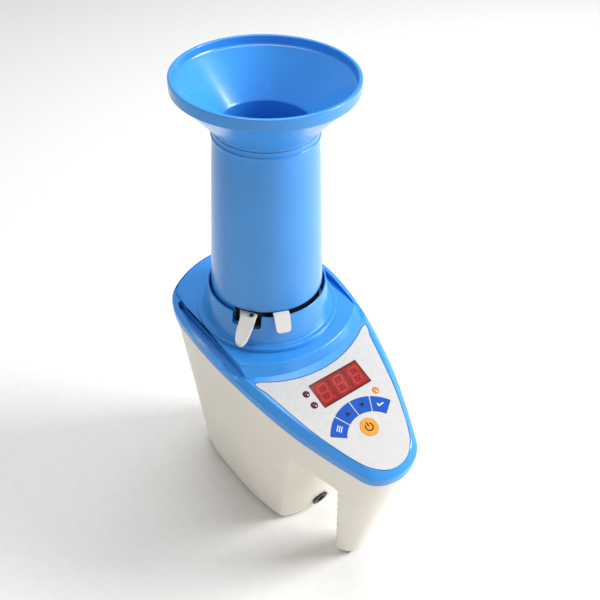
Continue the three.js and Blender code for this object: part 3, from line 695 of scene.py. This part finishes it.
def channel_tool(mirror=False):
    """Finger channel beside the deck, with a rounded floor and a flared upper edge."""
    plan = channel_plan(mirror)
    floor = curve_through(CHANNEL_FLOOR)
    rings = []
    for d, lift in ((1.6, 0), (0.8, 0.25), (0.25, 0.8), (0, 1.6)):
        rings.append([(x, y, floor(y) + lift) for x, y in inset(plan, d)])
    for d, lift in ((0, -0.9), (-0.25, -0.3), (-0.9, 0.02), (-0.9, 20)):
        rings.append([(x, y, max(edge_z(y) + lift, floor(y) + 1.7)) for x, y in inset(plan, d)])
    return loft(rings)


def notch_tool():
    """Opening in the collar for the lever: a rounded slot through the wall, open at the top."""
    half, bottom, corner = 9.9, 183.5, 1.6
    shape = rounded([(-half, CLEAR, 0), (-half, bottom, corner), (half, bottom, corner), (half, CLEAR, 0)])
    rings = [[(x, y, z) for x, z in shape] for y in (-60, -34)]
    return turn_about(loft(rings), 0, 0, -54.75)


def wedge(start, end, inner, outer, low, high, steps=8):
    """Stretch of a ring between two turns about the tower."""
    turn = [start + (end - start) * k / steps for k in range(steps + 1)]
    points = [polar(outer, a) for a in turn] + [polar(inner, a) for a in reversed(turn)]
    return prism(points, low, high)


def overlay_outline(grow=0.0):
    """Light sheet of the key panel, in the panel's axes: hollow rear edge, tapering sides, round nose."""
    stretch = math.hypot(1, math.tan(sizes().slope))
    half = [(46.6, -51.8), (44, -61), (39.5, -78), (33.6, -98), (27, -114.5), (22.5, -124),
            (17.5, -132), (9, -138.9), (0, -140.8)]
    loop = closed_curve([(-x, y) for x, y in half] + [(x, y) for x, y in half[-2::-1]], 6)
    side = loop[:(len(half) * 2 - 2) * 6 + 1]
    rear = []
    for i in range(1, 30):
        x = 46 - 92 * i / 30
        rear.append((x, 19.9 - math.sqrt(84.5 ** 2 - x ** 2)))
    return inset([(x, (y - PANEL_Y) * stretch) for x, y in side + rear], -grow)


def ring_arc(radius, start, end, steps):
    """Arc about the key ring's centre, in degrees turned from straight up the panel towards +X."""
    turn = [math.radians(start + (end - start) * k / steps) for k in range(steps + 1)]
    return [(KEY_X + radius * math.sin(a), KEY_V + radius * math.cos(a)) for a in turn]


def key_outline(index, grow):
    """One key of the ring, in the panel's axes, with rounded corners."""
    width = KEY_HALF * 2 / 4
    trim = math.degrees((KEY_LINE / 2 - grow) / ((KEY_INNER + KEY_OUTER) / 2))
    start = -KEY_HALF + index * width + trim
    end = start + width - 2 * trim
    corner, steps = 0.35, 8
    sides = (ring_arc(KEY_OUTER + grow, start, end, steps), ring_arc(KEY_INNER - grow, end, start, steps))
    corners = [(*p, corner if k in (0, steps) else 0) for side in sides for k, p in enumerate(side)]
    return rounded(corners)[::-1]


def key_ring_outline(grow):
    """All four keys together."""
    outer = ring_arc(KEY_OUTER + grow, -KEY_HALF, KEY_HALF, 36)
    return outer + ring_arc(KEY_INNER - grow, KEY_HALF, -KEY_HALF, 36)


def window_outline(grow):
    return rectangle(WINDOW_X, WINDOW_V, WINDOW_W / 2 + grow, WINDOW_H / 2 + grow, 0.6)


def collar_profile():
    """Disc and collar on the deck, from the axis out and up."""
    foot, top = COLLAR_FOOT, COLLAR_RADIUS
    profile = [(0, 164), (DISC_RADIUS, 164)]
    profile += arc((DISC_RADIUS - 1, DISC_Z - 1), 1, 0, 90, 5)
    profile += arc((foot + 1.2, DISC_Z + 1.2), 1.2, 270, 190, 4)
    profile += arc((top - 0.7, COLLAR_TOP - 0.7), 0.7, 10, 90, 5)
    return profile + [(0, COLLAR_TOP)]


def cover_hollow(wall):
    """Space inside the cover's walls, kept clear of the finger channels."""
    rings = cover_rings(wall, 0.4)
    hollow = loft(rings, strips=True)
    join(hollow, loft([[(x, y, z - 8) for x, y, z in rings[1]], rings[1]], strips=True))
    middle, half = 46, 14
    cut(hollow, *[block((sign * middle - half, -52, 140), (sign * middle + half, 42, 180))
                  for sign in (-1, 1)])
    return join(hollow, loft(deck_rings(wall, 0.2)))


def build_cover():
    s = sizes()
    cover = loft(cover_rings(0, s.edge / MM), strips=True)
    join(cover, channel_pan(), channel_pan(mirror=True))
    cut(cover, channel_tool(), channel_tool(mirror=True))
    join(cover, loft(deck_rings(0, 1.0)), lathe(collar_profile()))
    cut(cover, cover_hollow(s.wall / MM))
    bore = [(0, COLLAR_SEAT), (COLLAR_BORE - 0.9, COLLAR_SEAT), (COLLAR_BORE, COLLAR_TOP - 8)]
    bore += arc((COLLAR_BORE + 0.6, COLLAR_TOP - 0.6), 0.6, 180, 90, 4)
    bore += [(COLLAR_BORE + 0.6, 210), (0, 210)]
    low, high = 165, 190
    cut(cover, lathe(bore), drum((0, 0), COLLAR_SHOULDER, 120, high, SIDES),
        drum((0, 0), CELL_FLANGE, 120, CELL_TOP, SIDES), notch_tool(),
        wedge(-63, -43, 30, COLLAR_BORE + 0.3, low, high),
        drum(polar(LEVER_RADIUS, LEVER_AT), 2.5, low, high, 24))
    openings = [prism(overlay_outline(GAP + 0.2), -1.1, 12), prism(window_outline(GAP), *PANEL_CUT),
                prism(key_ring_outline(0.4), *PANEL_CUT),
                drum((POWER_X, POWER_V), POWER_RADIUS + 0.4, *PANEL_CUT)]
    openings += [drum(spot, LAMP_RADIUS + GAP, *PANEL_CUT, 32) for spot in LAMP_SPOTS.values()]
    cut(cover, *[on_panel(opening) for opening in openings])
    return shade(cover)


# ------------------------------------------------------------------ housing
def body_ring(z, t):
    """Outline of the housing's skin at a height, moved in by t."""
    foot, top = outline(BODY_FOOT), outline(BODY_TOP)
    share = (z - BODY_FLOOR) / (BODY_CEILING - BODY_FLOOR)
    ring = [(ax + (bx - ax) * share, ay + (by - ay) * share) for (ax, ay), (bx, by) in zip(foot, top)]
    return [(x, y, z) for x, y in inset(ring, t)]


def body_form(t, low, bottom_round):
    """Housing without its arch, moved in by t, with a rounded edge round its foot."""
    rings = [body_ring(low, t + bottom_round * 0.9)]
    rings += [body_ring(low + rise, t + d) for rise, d in quarter_round(bottom_round, 6)[1:]]
    rings += [body_ring(z, t) for z in (40, 90, 130, BODY_CEILING)]
    return loft(rings, strips=True)


def arch_form(t):
    """Space between the tub and the leg, less the tub's bulging front."""
    y, radius, lean = TUB_FRONT
    side = rounded([(-20, -5, 0), (-20, 128 + t, 0), (-71, 112 + t, 6), (-113.6 - t, 97.5 + t, 4),
                    (-104.4 - t, -5, 0)])
    arch = side_prism(side, -90, 90)
    low, high = -6, 150
    front = lathe([(0, low), (radius + low * lean - t, low), (radius + high * lean - t, high), (0, high)],
                  FINE_SIDES, (0, y))
    return cut(arch, front)


def build_housing():
    s = sizes()
    wall = s.body_wall / MM
    body = body_form(0, BODY_FLOOR, 4.5)
    cut(body, arch_form(0))
    hollow = body_form(wall, -3, 0.3)
    cut(hollow, arch_form(wall), block((-40, -170, -10), (40, -80, 9)))
    cut(body, hollow)
    top = s.skirt / MM - 1.2
    stations = [-170 + 4 * k for k in range(64)]
    above = [(y, edge_z(y) - top) for y in stations] + [(82, 230), (-170, 230)]
    cut(body, side_prism(above, -90, 90))
    cut(body, block((-7.3, -114.3, -1), (7.3, -107.2, 2.7)))
    remesh = body.modifiers.new("even", "REMESH")
    remesh.mode = "VOXEL"
    remesh.voxel_size = s.body_grain
    relax = body.modifiers.new("relax", "SMOOTH")
    relax.factor = 0.5
    relax.iterations = 26
    apply_modifiers(body)
    cut(body, socket_place(drum((0, 0), 5.9, -9, 9)), channel_tool(), channel_tool(mirror=True))
    body.data.shade_smooth()
    body.data.set_sharp_from_angle(angle=math.radians(72))
    return body


def socket_place(obj):
    """Moves a form made about the upright axis at the origin into the socket's hole."""
    y, radius, lean = TUB_FRONT
    height = (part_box("dc_socket")[0].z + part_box("dc_socket")[1].z) / 2 / MM
    spot = Vector((TOWER.x, TOWER.y + (y - radius - lean * height) * MM, height * MM))
    turn = Matrix.Rotation(math.pi / 2 + math.atan(lean), 4, "X")
    obj.data.transform(Matrix.Translation(spot) @ turn @ Matrix.Translation((-TOWER.x, -TOWER.y, 0)))
    return obj


def build_socket():
    profile = [(0, -10), (5.5, -10), (5.5, GAP), (6.6, GAP)]
    profile += arc((6.4, 1.0), 0.6, -30, 90, 5) + arc((3.9, 1.0), 0.6, 90, 180, 4)
    profile += [(3.3, -7), (1, -7), (1, -0.4), (0.6, 0), (0, 0)]
    return shade(socket_place(lathe(profile, 48)))


# ------------------------------------------------------------------ loading tower
def build_funnel():
    band = sizes().rim_band / MM
    r, z = RIM_RADIUS, RIM_TOP
    profile = [(27, 298), (29.1, 298), (29.1, 308), (31.5, 308), (31.5, 309)]
    profile += [(r - 1.9, z - band - 1.3)]
    profile += arc((r - 0.9, z - band), 0.9, -45, 0, 4)
    profile += arc((r - 0.8, z - 0.8), 0.8, 0, 90, 5)
    profile += arc((r - 1.7, z - 0.7), 0.7, 90, 170, 4)
    profile += [(r - 2.5, z - 4.6), (r - 2.9, z - 5.2), (r - 3.8, z - 5.6), (r - 4.4, z - 6.1),
                (28.6, 311), (27.6, 310.2), (27, 309)]
    return shade(lathe(profile, FINE_SIDES), 28)


def build_tube():
    top, bottom, wall = 31.7, TUBE_FOOT_RADIUS, 2.2
    foot = TUBE_LOW.z / MM
    outside = curve_through([(193, bottom), (230, 36.0), (282, 33.3), (302, 31.95)])
    profile = [(bottom - wall, foot), (bottom - 0.5, foot), (bottom, foot + 0.5)]
    profile += [(outside(z), z) for z in range(197, 303, 4)]
    profile += [(31.95, 302.4)] + arc((top + 0.1, 303.9), 0.75, -70, 70, 6)
    profile += [(top, 305.4), (top, 307.5), (top - 0.3, 307.7), (top - wall, 307.7), (top - wall, 300),
                (bottom - wall, 193)]
    tube = lathe(profile, FINE_SIDES)
    # front of the tube's foot cut away up to TUBE_EDGE, so that the black ring of painted shade shows
    # between tube and collar
    cut(tube, wedge(-70, 62, 30, 45, 170, TUBE_EDGE, 44))
    return shade(tube, 28)


def build_shade_ring():
    """Black ring in the tube's foot with the lever's ear; the ring is painted shade of the gap above the
    collar.
    """
    low, high, inner = TUBE_LOW.z / MM + 0.2, 199, 35.7
    # black ring: painted shade, seen where the tube's front is cut away
    shade_ring = lathe([(inner, low), (SHADE_RING_RADIUS, low), (SHADE_RING_RADIUS, high), (inner, high)])
    join(shade_ring, wedge(-57, -43, 36, 42.6, 184.5, 186.3))
    cut(shade_ring, drum(polar(LEVER_RADIUS, LEVER_AT), 2, 180, 190, 24))
    return shade(shade_ring, 28)


def bent_strip(path, half_width, thickness, steps, round_tip):
    """Strip of a changing half width, bent along a side path of (distance out, height)."""
    half, height = curve_through(half_width), curve_through(path)
    start, end = path[0][0], path[-1][0]
    across = 8
    rows = []
    for i in range(steps + 1):
        u = start + (end - start) * i / steps
        into = max(u - end + round_tip, 0)
        wide = half(u) - round_tip + math.sqrt(max(round_tip ** 2 - into ** 2, 0))
        tilt = math.atan((height(u + 0.05) - height(u - 0.05)) / 0.1)
        row = []
        for side in (1, -1):
            shift = side * thickness / 2
            for k in range(across + 1):
                w = side * wide * (2 * k / across - 1)
                row.append((w, -(u - shift * math.sin(tilt)), height(u) + shift * math.cos(tilt)))
        rows.append(row)
    return loft(rows)


def build_lever():
    """Flat hub that comes out under the tube, folds and slopes to a rounded finger tip."""
    fold, z, far = LEVER_FOLD, LEVER_Z, 16
    upper = [(-28, z), (-fold + 0.7, z), (-fold, z - 0.15), (-fold - 0.6, z - 0.75)]
    upper += [(-fold - far, z - LEVER_FALL * far)]
    lower = [(y + 0.35, height - 1.7) for y, height in upper]
    strip = turn_about(side_prism(upper + lower[::-1], -30, 30), 0, 0, LEVER_TURN)
    lever = keep(prism(rounded(LEVER_PLAN), 165, CLEAR), strip)
    spot = polar(LEVER_RADIUS, LEVER_AT)
    for swing in (0, 6, 12, 18, 23):
        tube_path = drum((0, 0), SHADE_RING_RADIUS + 0.4, 160, CLEAR, SIDES)
        cut(lever, turn_about(tube_path, *spot, -swing))
    soften(lever, 0.4)
    join(lever, drum(spot, 1.6, 171.8, z - 0.8, 24))
    cut(lever, drum(spot, 0.9, z - 6, z + 2, 24))
    return shade(lever, 40)


def build_screw():
    """Small pan-head screw with a cross slot."""
    x, y = polar(LEVER_RADIUS, LEVER_AT)
    profile = [(0, -6), (0.6, -6), (0.6, 0.15), (1.5, 0.15), (1.5, 0.6), (1.3, 0.95), (0.8, 1.15), (0, 1.2)]
    screw = lathe([(r, LEVER_Z + z) for r, z in profile], 32, (x, y))
    for angle in (20, 110):
        slot = block((x - 0.9, y - 0.2, LEVER_Z + 0.7), (x + 0.9, y + 0.2, LEVER_Z + 2))
        cut(screw, turn_about(slot, x, y, angle))
    return shade(screw, 30)


def build_rest():
    """Fixed tab beside the lever: out over the collar's edge and down, with a fold line across it."""
    root = TUBE_FOOT_RADIUS + GAP
    path = [(root, 193.6), (40.3, 193.5), (41.5, 193.1), (42.6, 191.6), (46.9, 185.2), (47.6, 184.4)]
    rest = bent_strip(path, [(root, 5.2), (42, 5.2), (47.6, 4.8)], 1.7, 36, 2.0)
    cut(rest, block((-4.6, -41.6, 193.95), (4.6, -41.3, 195)))
    soften(rest, 0.4)
    return turn_about(shade(rest, 40), 0, 0, REST_AT)


# ------------------------------------------------------------------ key panel
def sheet_form(points, low, high, edge_round, dome=0.0):
    """Flat piece on the panel with a rounded upper edge and, if asked, a slightly raised middle."""
    rings = [[(x, y, low) for x, y in points]]
    for d, fall in quarter_round(edge_round, 4):
        rings.append([(x, y, high - fall) for x, y in inset(points, d)])
    if dome:
        rings.append([(x, y, high + dome) for x, y in inset(points, edge_round + 1.2)])
    return loft(rings)


def build_overlay():
    overlay = sheet_form(overlay_outline(), -0.8, 0, 0.25)
    cut(overlay, prism(window_outline(0.15), *SHEET_CUT))
    cut(overlay, drum((POWER_X, POWER_V), POWER_RADIUS + 0.15, *SHEET_CUT, 64))
    cut(overlay, *[prism(key_outline(n, 0.12), *SHEET_CUT) for n in range(4)])
    cut(overlay, *[drum(spot, LAMP_RADIUS + 0.1, *SHEET_CUT, 32) for spot in LAMP_SPOTS.values()])
    return shade(on_panel(overlay))


def segment_forms(x, low, high):
    """The seven leaning bars of one digit and its point."""
    tall, wide, thick, lean = 13.0, 8.3, 1.5, math.tan(math.radians(8))
    h, w = tall / 2 - thick / 2, wide / 2 - thick / 2
    bars = [((-w, h), (w, h)), ((-w, 0), (w, 0)), ((-w, -h), (w, -h)),
            ((-w, 0), (-w, h)), ((w, 0), (w, h)), ((-w, -h), (-w, 0)), ((w, -h), (w, 0))]
    forms = []
    for a, b in bars:
        a, b = Vector(a), Vector(b)
        along = (b - a).normalized()
        a, b = a + along * 0.16, b - along * 0.16
        across = Vector((-along.y, along.x)) * thick / 2
        tip = along * thick / 2
        shape = [a, a + tip - across, b - tip - across, b, b - tip + across, a + tip + across]
        points = [(x + p.x + p.y * lean, WINDOW_V + p.y) for p in shape]
        forms.append(prism(points, low, high))
    point = (x + w + 1.7 - h * lean, WINDOW_V - h - 0.1)
    forms.append(drum(point, 0.75, low, high, 20))
    return forms


def merge(forms):
    """One object from several separate forms."""
    shape = bmesh.new()
    for form in forms:
        shape.from_mesh(form.data)
        discard(form)
    mesh = bpy.data.meshes.new("form")
    shape.to_mesh(mesh)
    shape.free()
    return place_mesh(mesh)


def power_mark(low, high):
    """Open ring with an upright bar."""
    spot, outer, inner, start, end = (POWER_X, POWER_V), 3.0, 2.1, 125, 415
    loop = arc(spot, outer, start, end, 40) + arc(spot, inner, end, start, 40)
    half, foot, top = 0.48, 0.3, 3.6
    bar = [(POWER_X + a, POWER_V + b) for a, b in ((-half, foot), (half, foot), (half, top), (-half, top))]
    return merge([prism(loop, low, high), prism(bar, low, high)])


def key_centre(index):
    """Middle of a key, and how far the key is turned from upright, in radians."""
    degrees = -KEY_HALF + (index + 0.5) * KEY_HALF / 2
    return ring_arc((KEY_INNER + KEY_OUTER) / 2, degrees, degrees, 1)[0], math.radians(degrees)


def key_mark(index, low, high):
    """List lines, up, down or tick, about the key's middle and turned to stand with the key."""
    half, thick = 2.2, 0.28
    lines = [[(-half, b - thick), (half, b - thick), (half, b + thick), (-half, b + thick)]
             for b in (-1.4, 0, 1.4)]
    up, down = [(-2, -1.5), (2, -1.5), (0, 1.9)], [(-2, 1.5), (0, -1.9), (2, 1.5)]
    tick = [(-2.3, 0.2), (-1.7, 0.8), (-0.6, -0.4), (1.9, 2.0), (2.4, 1.4), (-0.6, -1.6)]
    (x, v), turn = key_centre(index)
    across, along = math.cos(turn), math.sin(turn)
    shapes = (lines, [up], [down], [tick])[index]
    return merge([prism([(x + a * across + b * along, v - a * along + b * across) for a, b in shape],
                        low, high) for shape in shapes])


# ------------------------------------------------------------------ operators
class MeterOperator:
    """What every operator of the meter shares."""
    bl_options = {"REGISTER", "UNDO"}


class METER_OT_cover(MeterOperator, Operator):
    """Builds the blue cover with its panel border, raised deck, finger channels and collar"""
    bl_idname = "meter.cover"
    bl_label = "Top cover"

    def execute(self, context):
        settle(build_cover(), "cover", "housing", "glossy_blue", "top_cover", "collar_ring",
               slot="cover_blue")
        return {"FINISHED"}


class METER_OT_housing(MeterOperator, Operator):
    """Builds the cream housing: tub, archway and raked leg"""
    bl_idname = "meter.housing"
    bl_label = "Housing"

    def execute(self, context):
        settle(build_housing(), "housing_shell", "housing", "cream_body", "lower_housing",
               slot="body_cream")
        return {"FINISHED"}


class METER_OT_socket(MeterOperator, Operator):
    """Builds the supply socket in the tub's front"""
    bl_idname = "meter.socket"
    bl_label = "Supply socket"

    def execute(self, context):
        settle(build_socket(), "supply_socket", "housing", "black_plastic", "dc_socket",
               slot="plastic_black")
        return {"FINISHED"}


class METER_OT_tower(MeterOperator, Operator):
    """Builds the funnel and the loading tube"""
    bl_idname = "meter.tower"
    bl_label = "Loading tower"

    def execute(self, context):
        settle(build_funnel(), "funnel_shell", "hopper", "glossy_blue", "funnel", slot="cover_blue")
        settle(build_tube(), "tube_shell", "hopper", "glossy_blue", "loading_tube", slot="cover_blue")
        # black ring in the tube's foot: painted shade of the gap between the tube and the collar
        settle(build_shade_ring(), "tube_shade_ring", "hopper", "black_plastic", slot="plastic_black")
        return {"FINISHED"}


class METER_OT_tabs(MeterOperator, Operator):
    """Builds the release lever with its screw, and the thumb rest beside it"""
    bl_idname = "meter.tabs"
    bl_label = "Lever and thumb rest"

    def execute(self, context):
        white = "white_fitting"
        settle(build_lever(), "lever_tab", "lever", white, "release_lever", slot="fitting_white")
        settle(build_screw(), "pivot_screw", "lever", "dark_steel", "lever_screw", slot="steel")
        settle(build_rest(), "thumb_tab", "hopper", white, "thumb_rest", slot="fitting_white")
        return {"FINISHED"}


class METER_OT_panel(MeterOperator, Operator):
    """Builds the light panel sheet, the red display with its digits, and the three lamps"""
    bl_idname = "meter.panel"
    bl_label = "Panel, display and lamps"

    def execute(self, context):
        settle(build_overlay(), "panel_sheet", "housing", "panel_film", "panel_overlay",
               slot="overlay_grey")
        # the window plate's glow is painted light through the red plastic
        window = sheet_form(window_outline(-0.02), -1.2, -0.12, 0.2)
        settle(shade(on_panel(window)), "window_plate", "housing", "red_window", "display_window",
               slot="window_red")
        for index, step in enumerate((-1, 0, 1)):
            x = WINDOW_X + step * DIGIT_PITCH
            # digit faces: lighter red with a glow, painted light through the window
            face = prism(rectangle(x, WINDOW_V, DIGIT_WIDTH / 2 - 0.15, 7.9, 0.5), -0.13, -0.10)
            bars = merge([on_panel(form) for form in segment_forms(x, -0.12, -0.06)])
            name = f"digit_{index + 1}"
            settle(shade(on_panel(face)), f"{name}_face", "housing", "red_face", slot="window_red")
            settle(shade(bars), f"{name}_bars", "housing", "red_segment", slot="window_red")
        for name, spot in LAMP_SPOTS.items():
            profile = [(0, -8), (LAMP_RADIUS, -8), (LAMP_RADIUS, -0.5)]
            profile += arc((0, -2.6), 3.25, 41, 90, 8)[1:-1] + [(0, 0.65)]
            colour = "amber" if name == "lamp_amber" else "red"
            lamp = shade(on_panel(lathe(profile, 40, spot)))
            settle(lamp, f"{name}_lens", "housing", f"{colour}_lamp", name, slot=f"lamp_{colour}")
        return {"FINISHED"}


class METER_OT_keys(MeterOperator, Operator):
    """Builds the four arc keys and the round power key with their marks"""
    bl_idname = "meter.keys"
    bl_label = "Keys"

    def execute(self, context):
        stem_radius, stem_low = 1.8, -6.4
        for index, name in enumerate(("select", "up", "down", "confirm")):
            cap = sheet_form(key_outline(index, 0), -4.2, 0.12, 0.2)
            stem = drum(key_centre(index)[0], stem_radius, stem_low, -4.3, 20)
            join(cap, prism(key_outline(index, 0.3), -5.2, -4.0), stem)
            settle(shade(on_panel(cap)), f"{name}_cap", f"{name}_button", "key_film", f"key_{name}",
                   slot="key_blue")
            mark = shade(on_panel(key_mark(index, 0.1, 0.2)))
            ink = "white_print" if name in ("select", "confirm") else "black_print"
            settle(mark, f"{name}_mark", f"{name}_button", ink, slot="key_blue")
        spot = (POWER_X, POWER_V)
        cap = sheet_form(arc(spot, POWER_RADIUS, 0, 352.5, 47), -4.2, 0.16, 0.35, 0.08)
        join(cap, drum(spot, POWER_RADIUS + 1, -5.2, -3.9), drum(spot, stem_radius, stem_low, -5, 20))
        settle(shade(on_panel(cap)), "power_cap", "power_button", "power_film", "key_power",
               slot="key_orange")
        settle(shade(on_panel(power_mark(0.2, 0.28))), "power_mark", "power_button", "black_print",
               slot="key_orange")
        return {"FINISHED"}


INNER_FINISHES = {
    "cream_body": ["base_plate", "battery_cover"],
    "black_plastic": ["battery_holder", "cell_cradle", "digit", "switch"],
    "white_fitting": ["gate_plate", "drop_door", "cell_insulator"],
    "turned_aluminium": ["cell_cup", "centre_electrode"],
    "plated_steel": ["electrode_nut", "temperature_probe", "door_pin", "door_spring", "base_screw",
                     "cover_screw"],
    "bright_brass": ["battery_contact"],
    "rubber_foot": ["foot", "leg_foot"],
    "green_board": ["main_board", "display_board"],
    "battery_print": ["battery"],
}


class METER_OT_inside(MeterOperator, Operator):
    """Gives the pieces that keep their own shape their finishes"""
    bl_idname = "meter.inside"
    bl_label = "Inner and lower pieces"

    def execute(self, context):
        by_name = {name: kind for kind, names in INNER_FINISHES.items() for name in names}
        for name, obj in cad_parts.items():
            if obj.hide_render:
                continue
            stem = name.rstrip("0123456789").rstrip("_")
            stem = stem.removesuffix("_left").removesuffix("_right")
            kind = by_name.get(name) or by_name.get(stem)
            if kind is None:
                raise RuntimeError(f"no finish is named for {name}")
            obj.data.materials.clear()
            obj.data.materials.append(finish(kind))
            obj.data.shade_smooth()
            obj.data.set_sharp_from_angle(angle=math.radians(30))
        return {"FINISHED"}


class METER_OT_stage(MeterOperator, Operator):
    """Builds the pale floor, the soft lights and the camera"""
    bl_idname = "meter.stage"
    bl_label = "Floor, lights and camera"

    def execute(self, context):
        scene = context.scene
        mesh = bpy.data.meshes.new("floor")
        half = 4.0
        corners = [(-half, -half, 0), (half, -half, 0), (half, half, 0), (-half, half, 0)]
        mesh.from_pydata(corners, [], [(0, 1, 2, 3)])
        floor = bpy.data.objects.new("floor", mesh)
        scene.collection.objects.link(floor)
        mesh.materials.append(self.floor_finish())
        world = bpy.data.worlds.new("studio")
        scene.world = world
        world.use_nodes = True
        sky = world.node_tree.nodes["Background"]
        sky.inputs["Color"].default_value = (1, 1, 1, 1)
        sky.inputs["Strength"].default_value = 0.36
        scene.view_settings.view_transform = "Standard"
        self.light("key", (1.1, -0.7, 0.95), 0.6, 24, (1, 1, 1))
        self.light("top", (0.25, 0.3, 1.6), 1.0, 13, (1, 1, 1))
        self.light("fill", (-1.1, -0.6, 0.5), 0.8, 1.3, (1, 0.84, 0.62))
        self.camera(scene)
        return {"FINISHED"}

    @staticmethod
    def floor_finish():
        make = Finish("floor_paper")
        make.tint(make.noise(140, 4), 0.3, 0.7, (0.90, 0.90, 0.90), (0.93, 0.93, 0.93))
        make.shader.inputs["Roughness"].default_value = 0.9
        return make.material

    @staticmethod
    def light(name, place, size, power, tint):
        lamp = bpy.data.lights.new(name, "AREA")
        lamp.size = size
        lamp.color = tint
        lamp.energy = power
        obj = bpy.data.objects.new(name, lamp)
        obj.location = place
        aim = Vector((0, 0, 0.17)) - Vector(place)
        obj.rotation_mode = "QUATERNION"
        obj.rotation_quaternion = aim.to_track_quat("-Z", "Y")
        bpy.context.scene.collection.objects.link(obj)

    @staticmethod
    def camera(scene):
        """Camera above the nose's left side, a little rolled."""
        lens = bpy.data.cameras.new("camera")
        lens.sensor_width = 36
        lens.lens = 45.38
        lens.clip_start = 0.01
        camera = bpy.data.objects.new("camera", lens)
        across, up = Vector((0.779, -0.627, 0)), Vector((0.416, 0.517, 0.748))
        roll = math.radians(1.84)
        x_axis = (across * math.cos(roll) + up * math.sin(roll)).normalized()
        y_axis = (up * math.cos(roll) - across * math.sin(roll)).normalized()
        z_axis = x_axis.cross(y_axis)
        y_axis = z_axis.cross(x_axis)
        turn = Matrix((x_axis, y_axis, z_axis)).transposed().to_4x4()
        camera.matrix_world = Matrix.Translation(TOWER + Vector((-0.2306, -0.3233, 0.5243))) @ turn
        scene.collection.objects.link(camera)
        scene.camera = camera


class METER_PT_pieces(Panel):
    """Sidebar list of the meter's pieces"""
    bl_label = "Grain moisture meter"
    bl_space_type = "VIEW_3D"
    bl_region_type = "UI"
    bl_category = "Meter"

    def draw(self, context):
        for operator in OPERATORS:
            self.layout.operator(operator.bl_idname)
        for group in (context.scene.meter_sizes, context.scene.meter_colours):
            box = self.layout.box()
            for name in group.__annotations__:
                box.prop(group, name)


OPERATORS = (METER_OT_stage, METER_OT_cover, METER_OT_housing, METER_OT_socket, METER_OT_tower,
             METER_OT_tabs, METER_OT_panel, METER_OT_keys, METER_OT_inside)
CLASSES = (MeterSizes, MeterColours, *OPERATORS, METER_PT_pieces)


def register():
    for cls in CLASSES:
        bpy.utils.register_class(cls)
    bpy.types.Scene.meter_sizes = PointerProperty(type=MeterSizes)
    bpy.types.Scene.meter_colours = PointerProperty(type=MeterColours)


def unregister():
    del bpy.types.Scene.meter_colours
    del bpy.types.Scene.meter_sizes
    for cls in reversed(CLASSES):
        bpy.utils.unregister_class(cls)


def main():
    register()
    bpy.ops.meter.stage()
    bpy.ops.meter.cover()
    bpy.ops.meter.housing()
    bpy.ops.meter.socket()
    bpy.ops.meter.tower()
    bpy.ops.meter.tabs()
    bpy.ops.meter.panel()
    bpy.ops.meter.keys()
    bpy.ops.meter.inside()


if __name__ == "__main__":
    main()
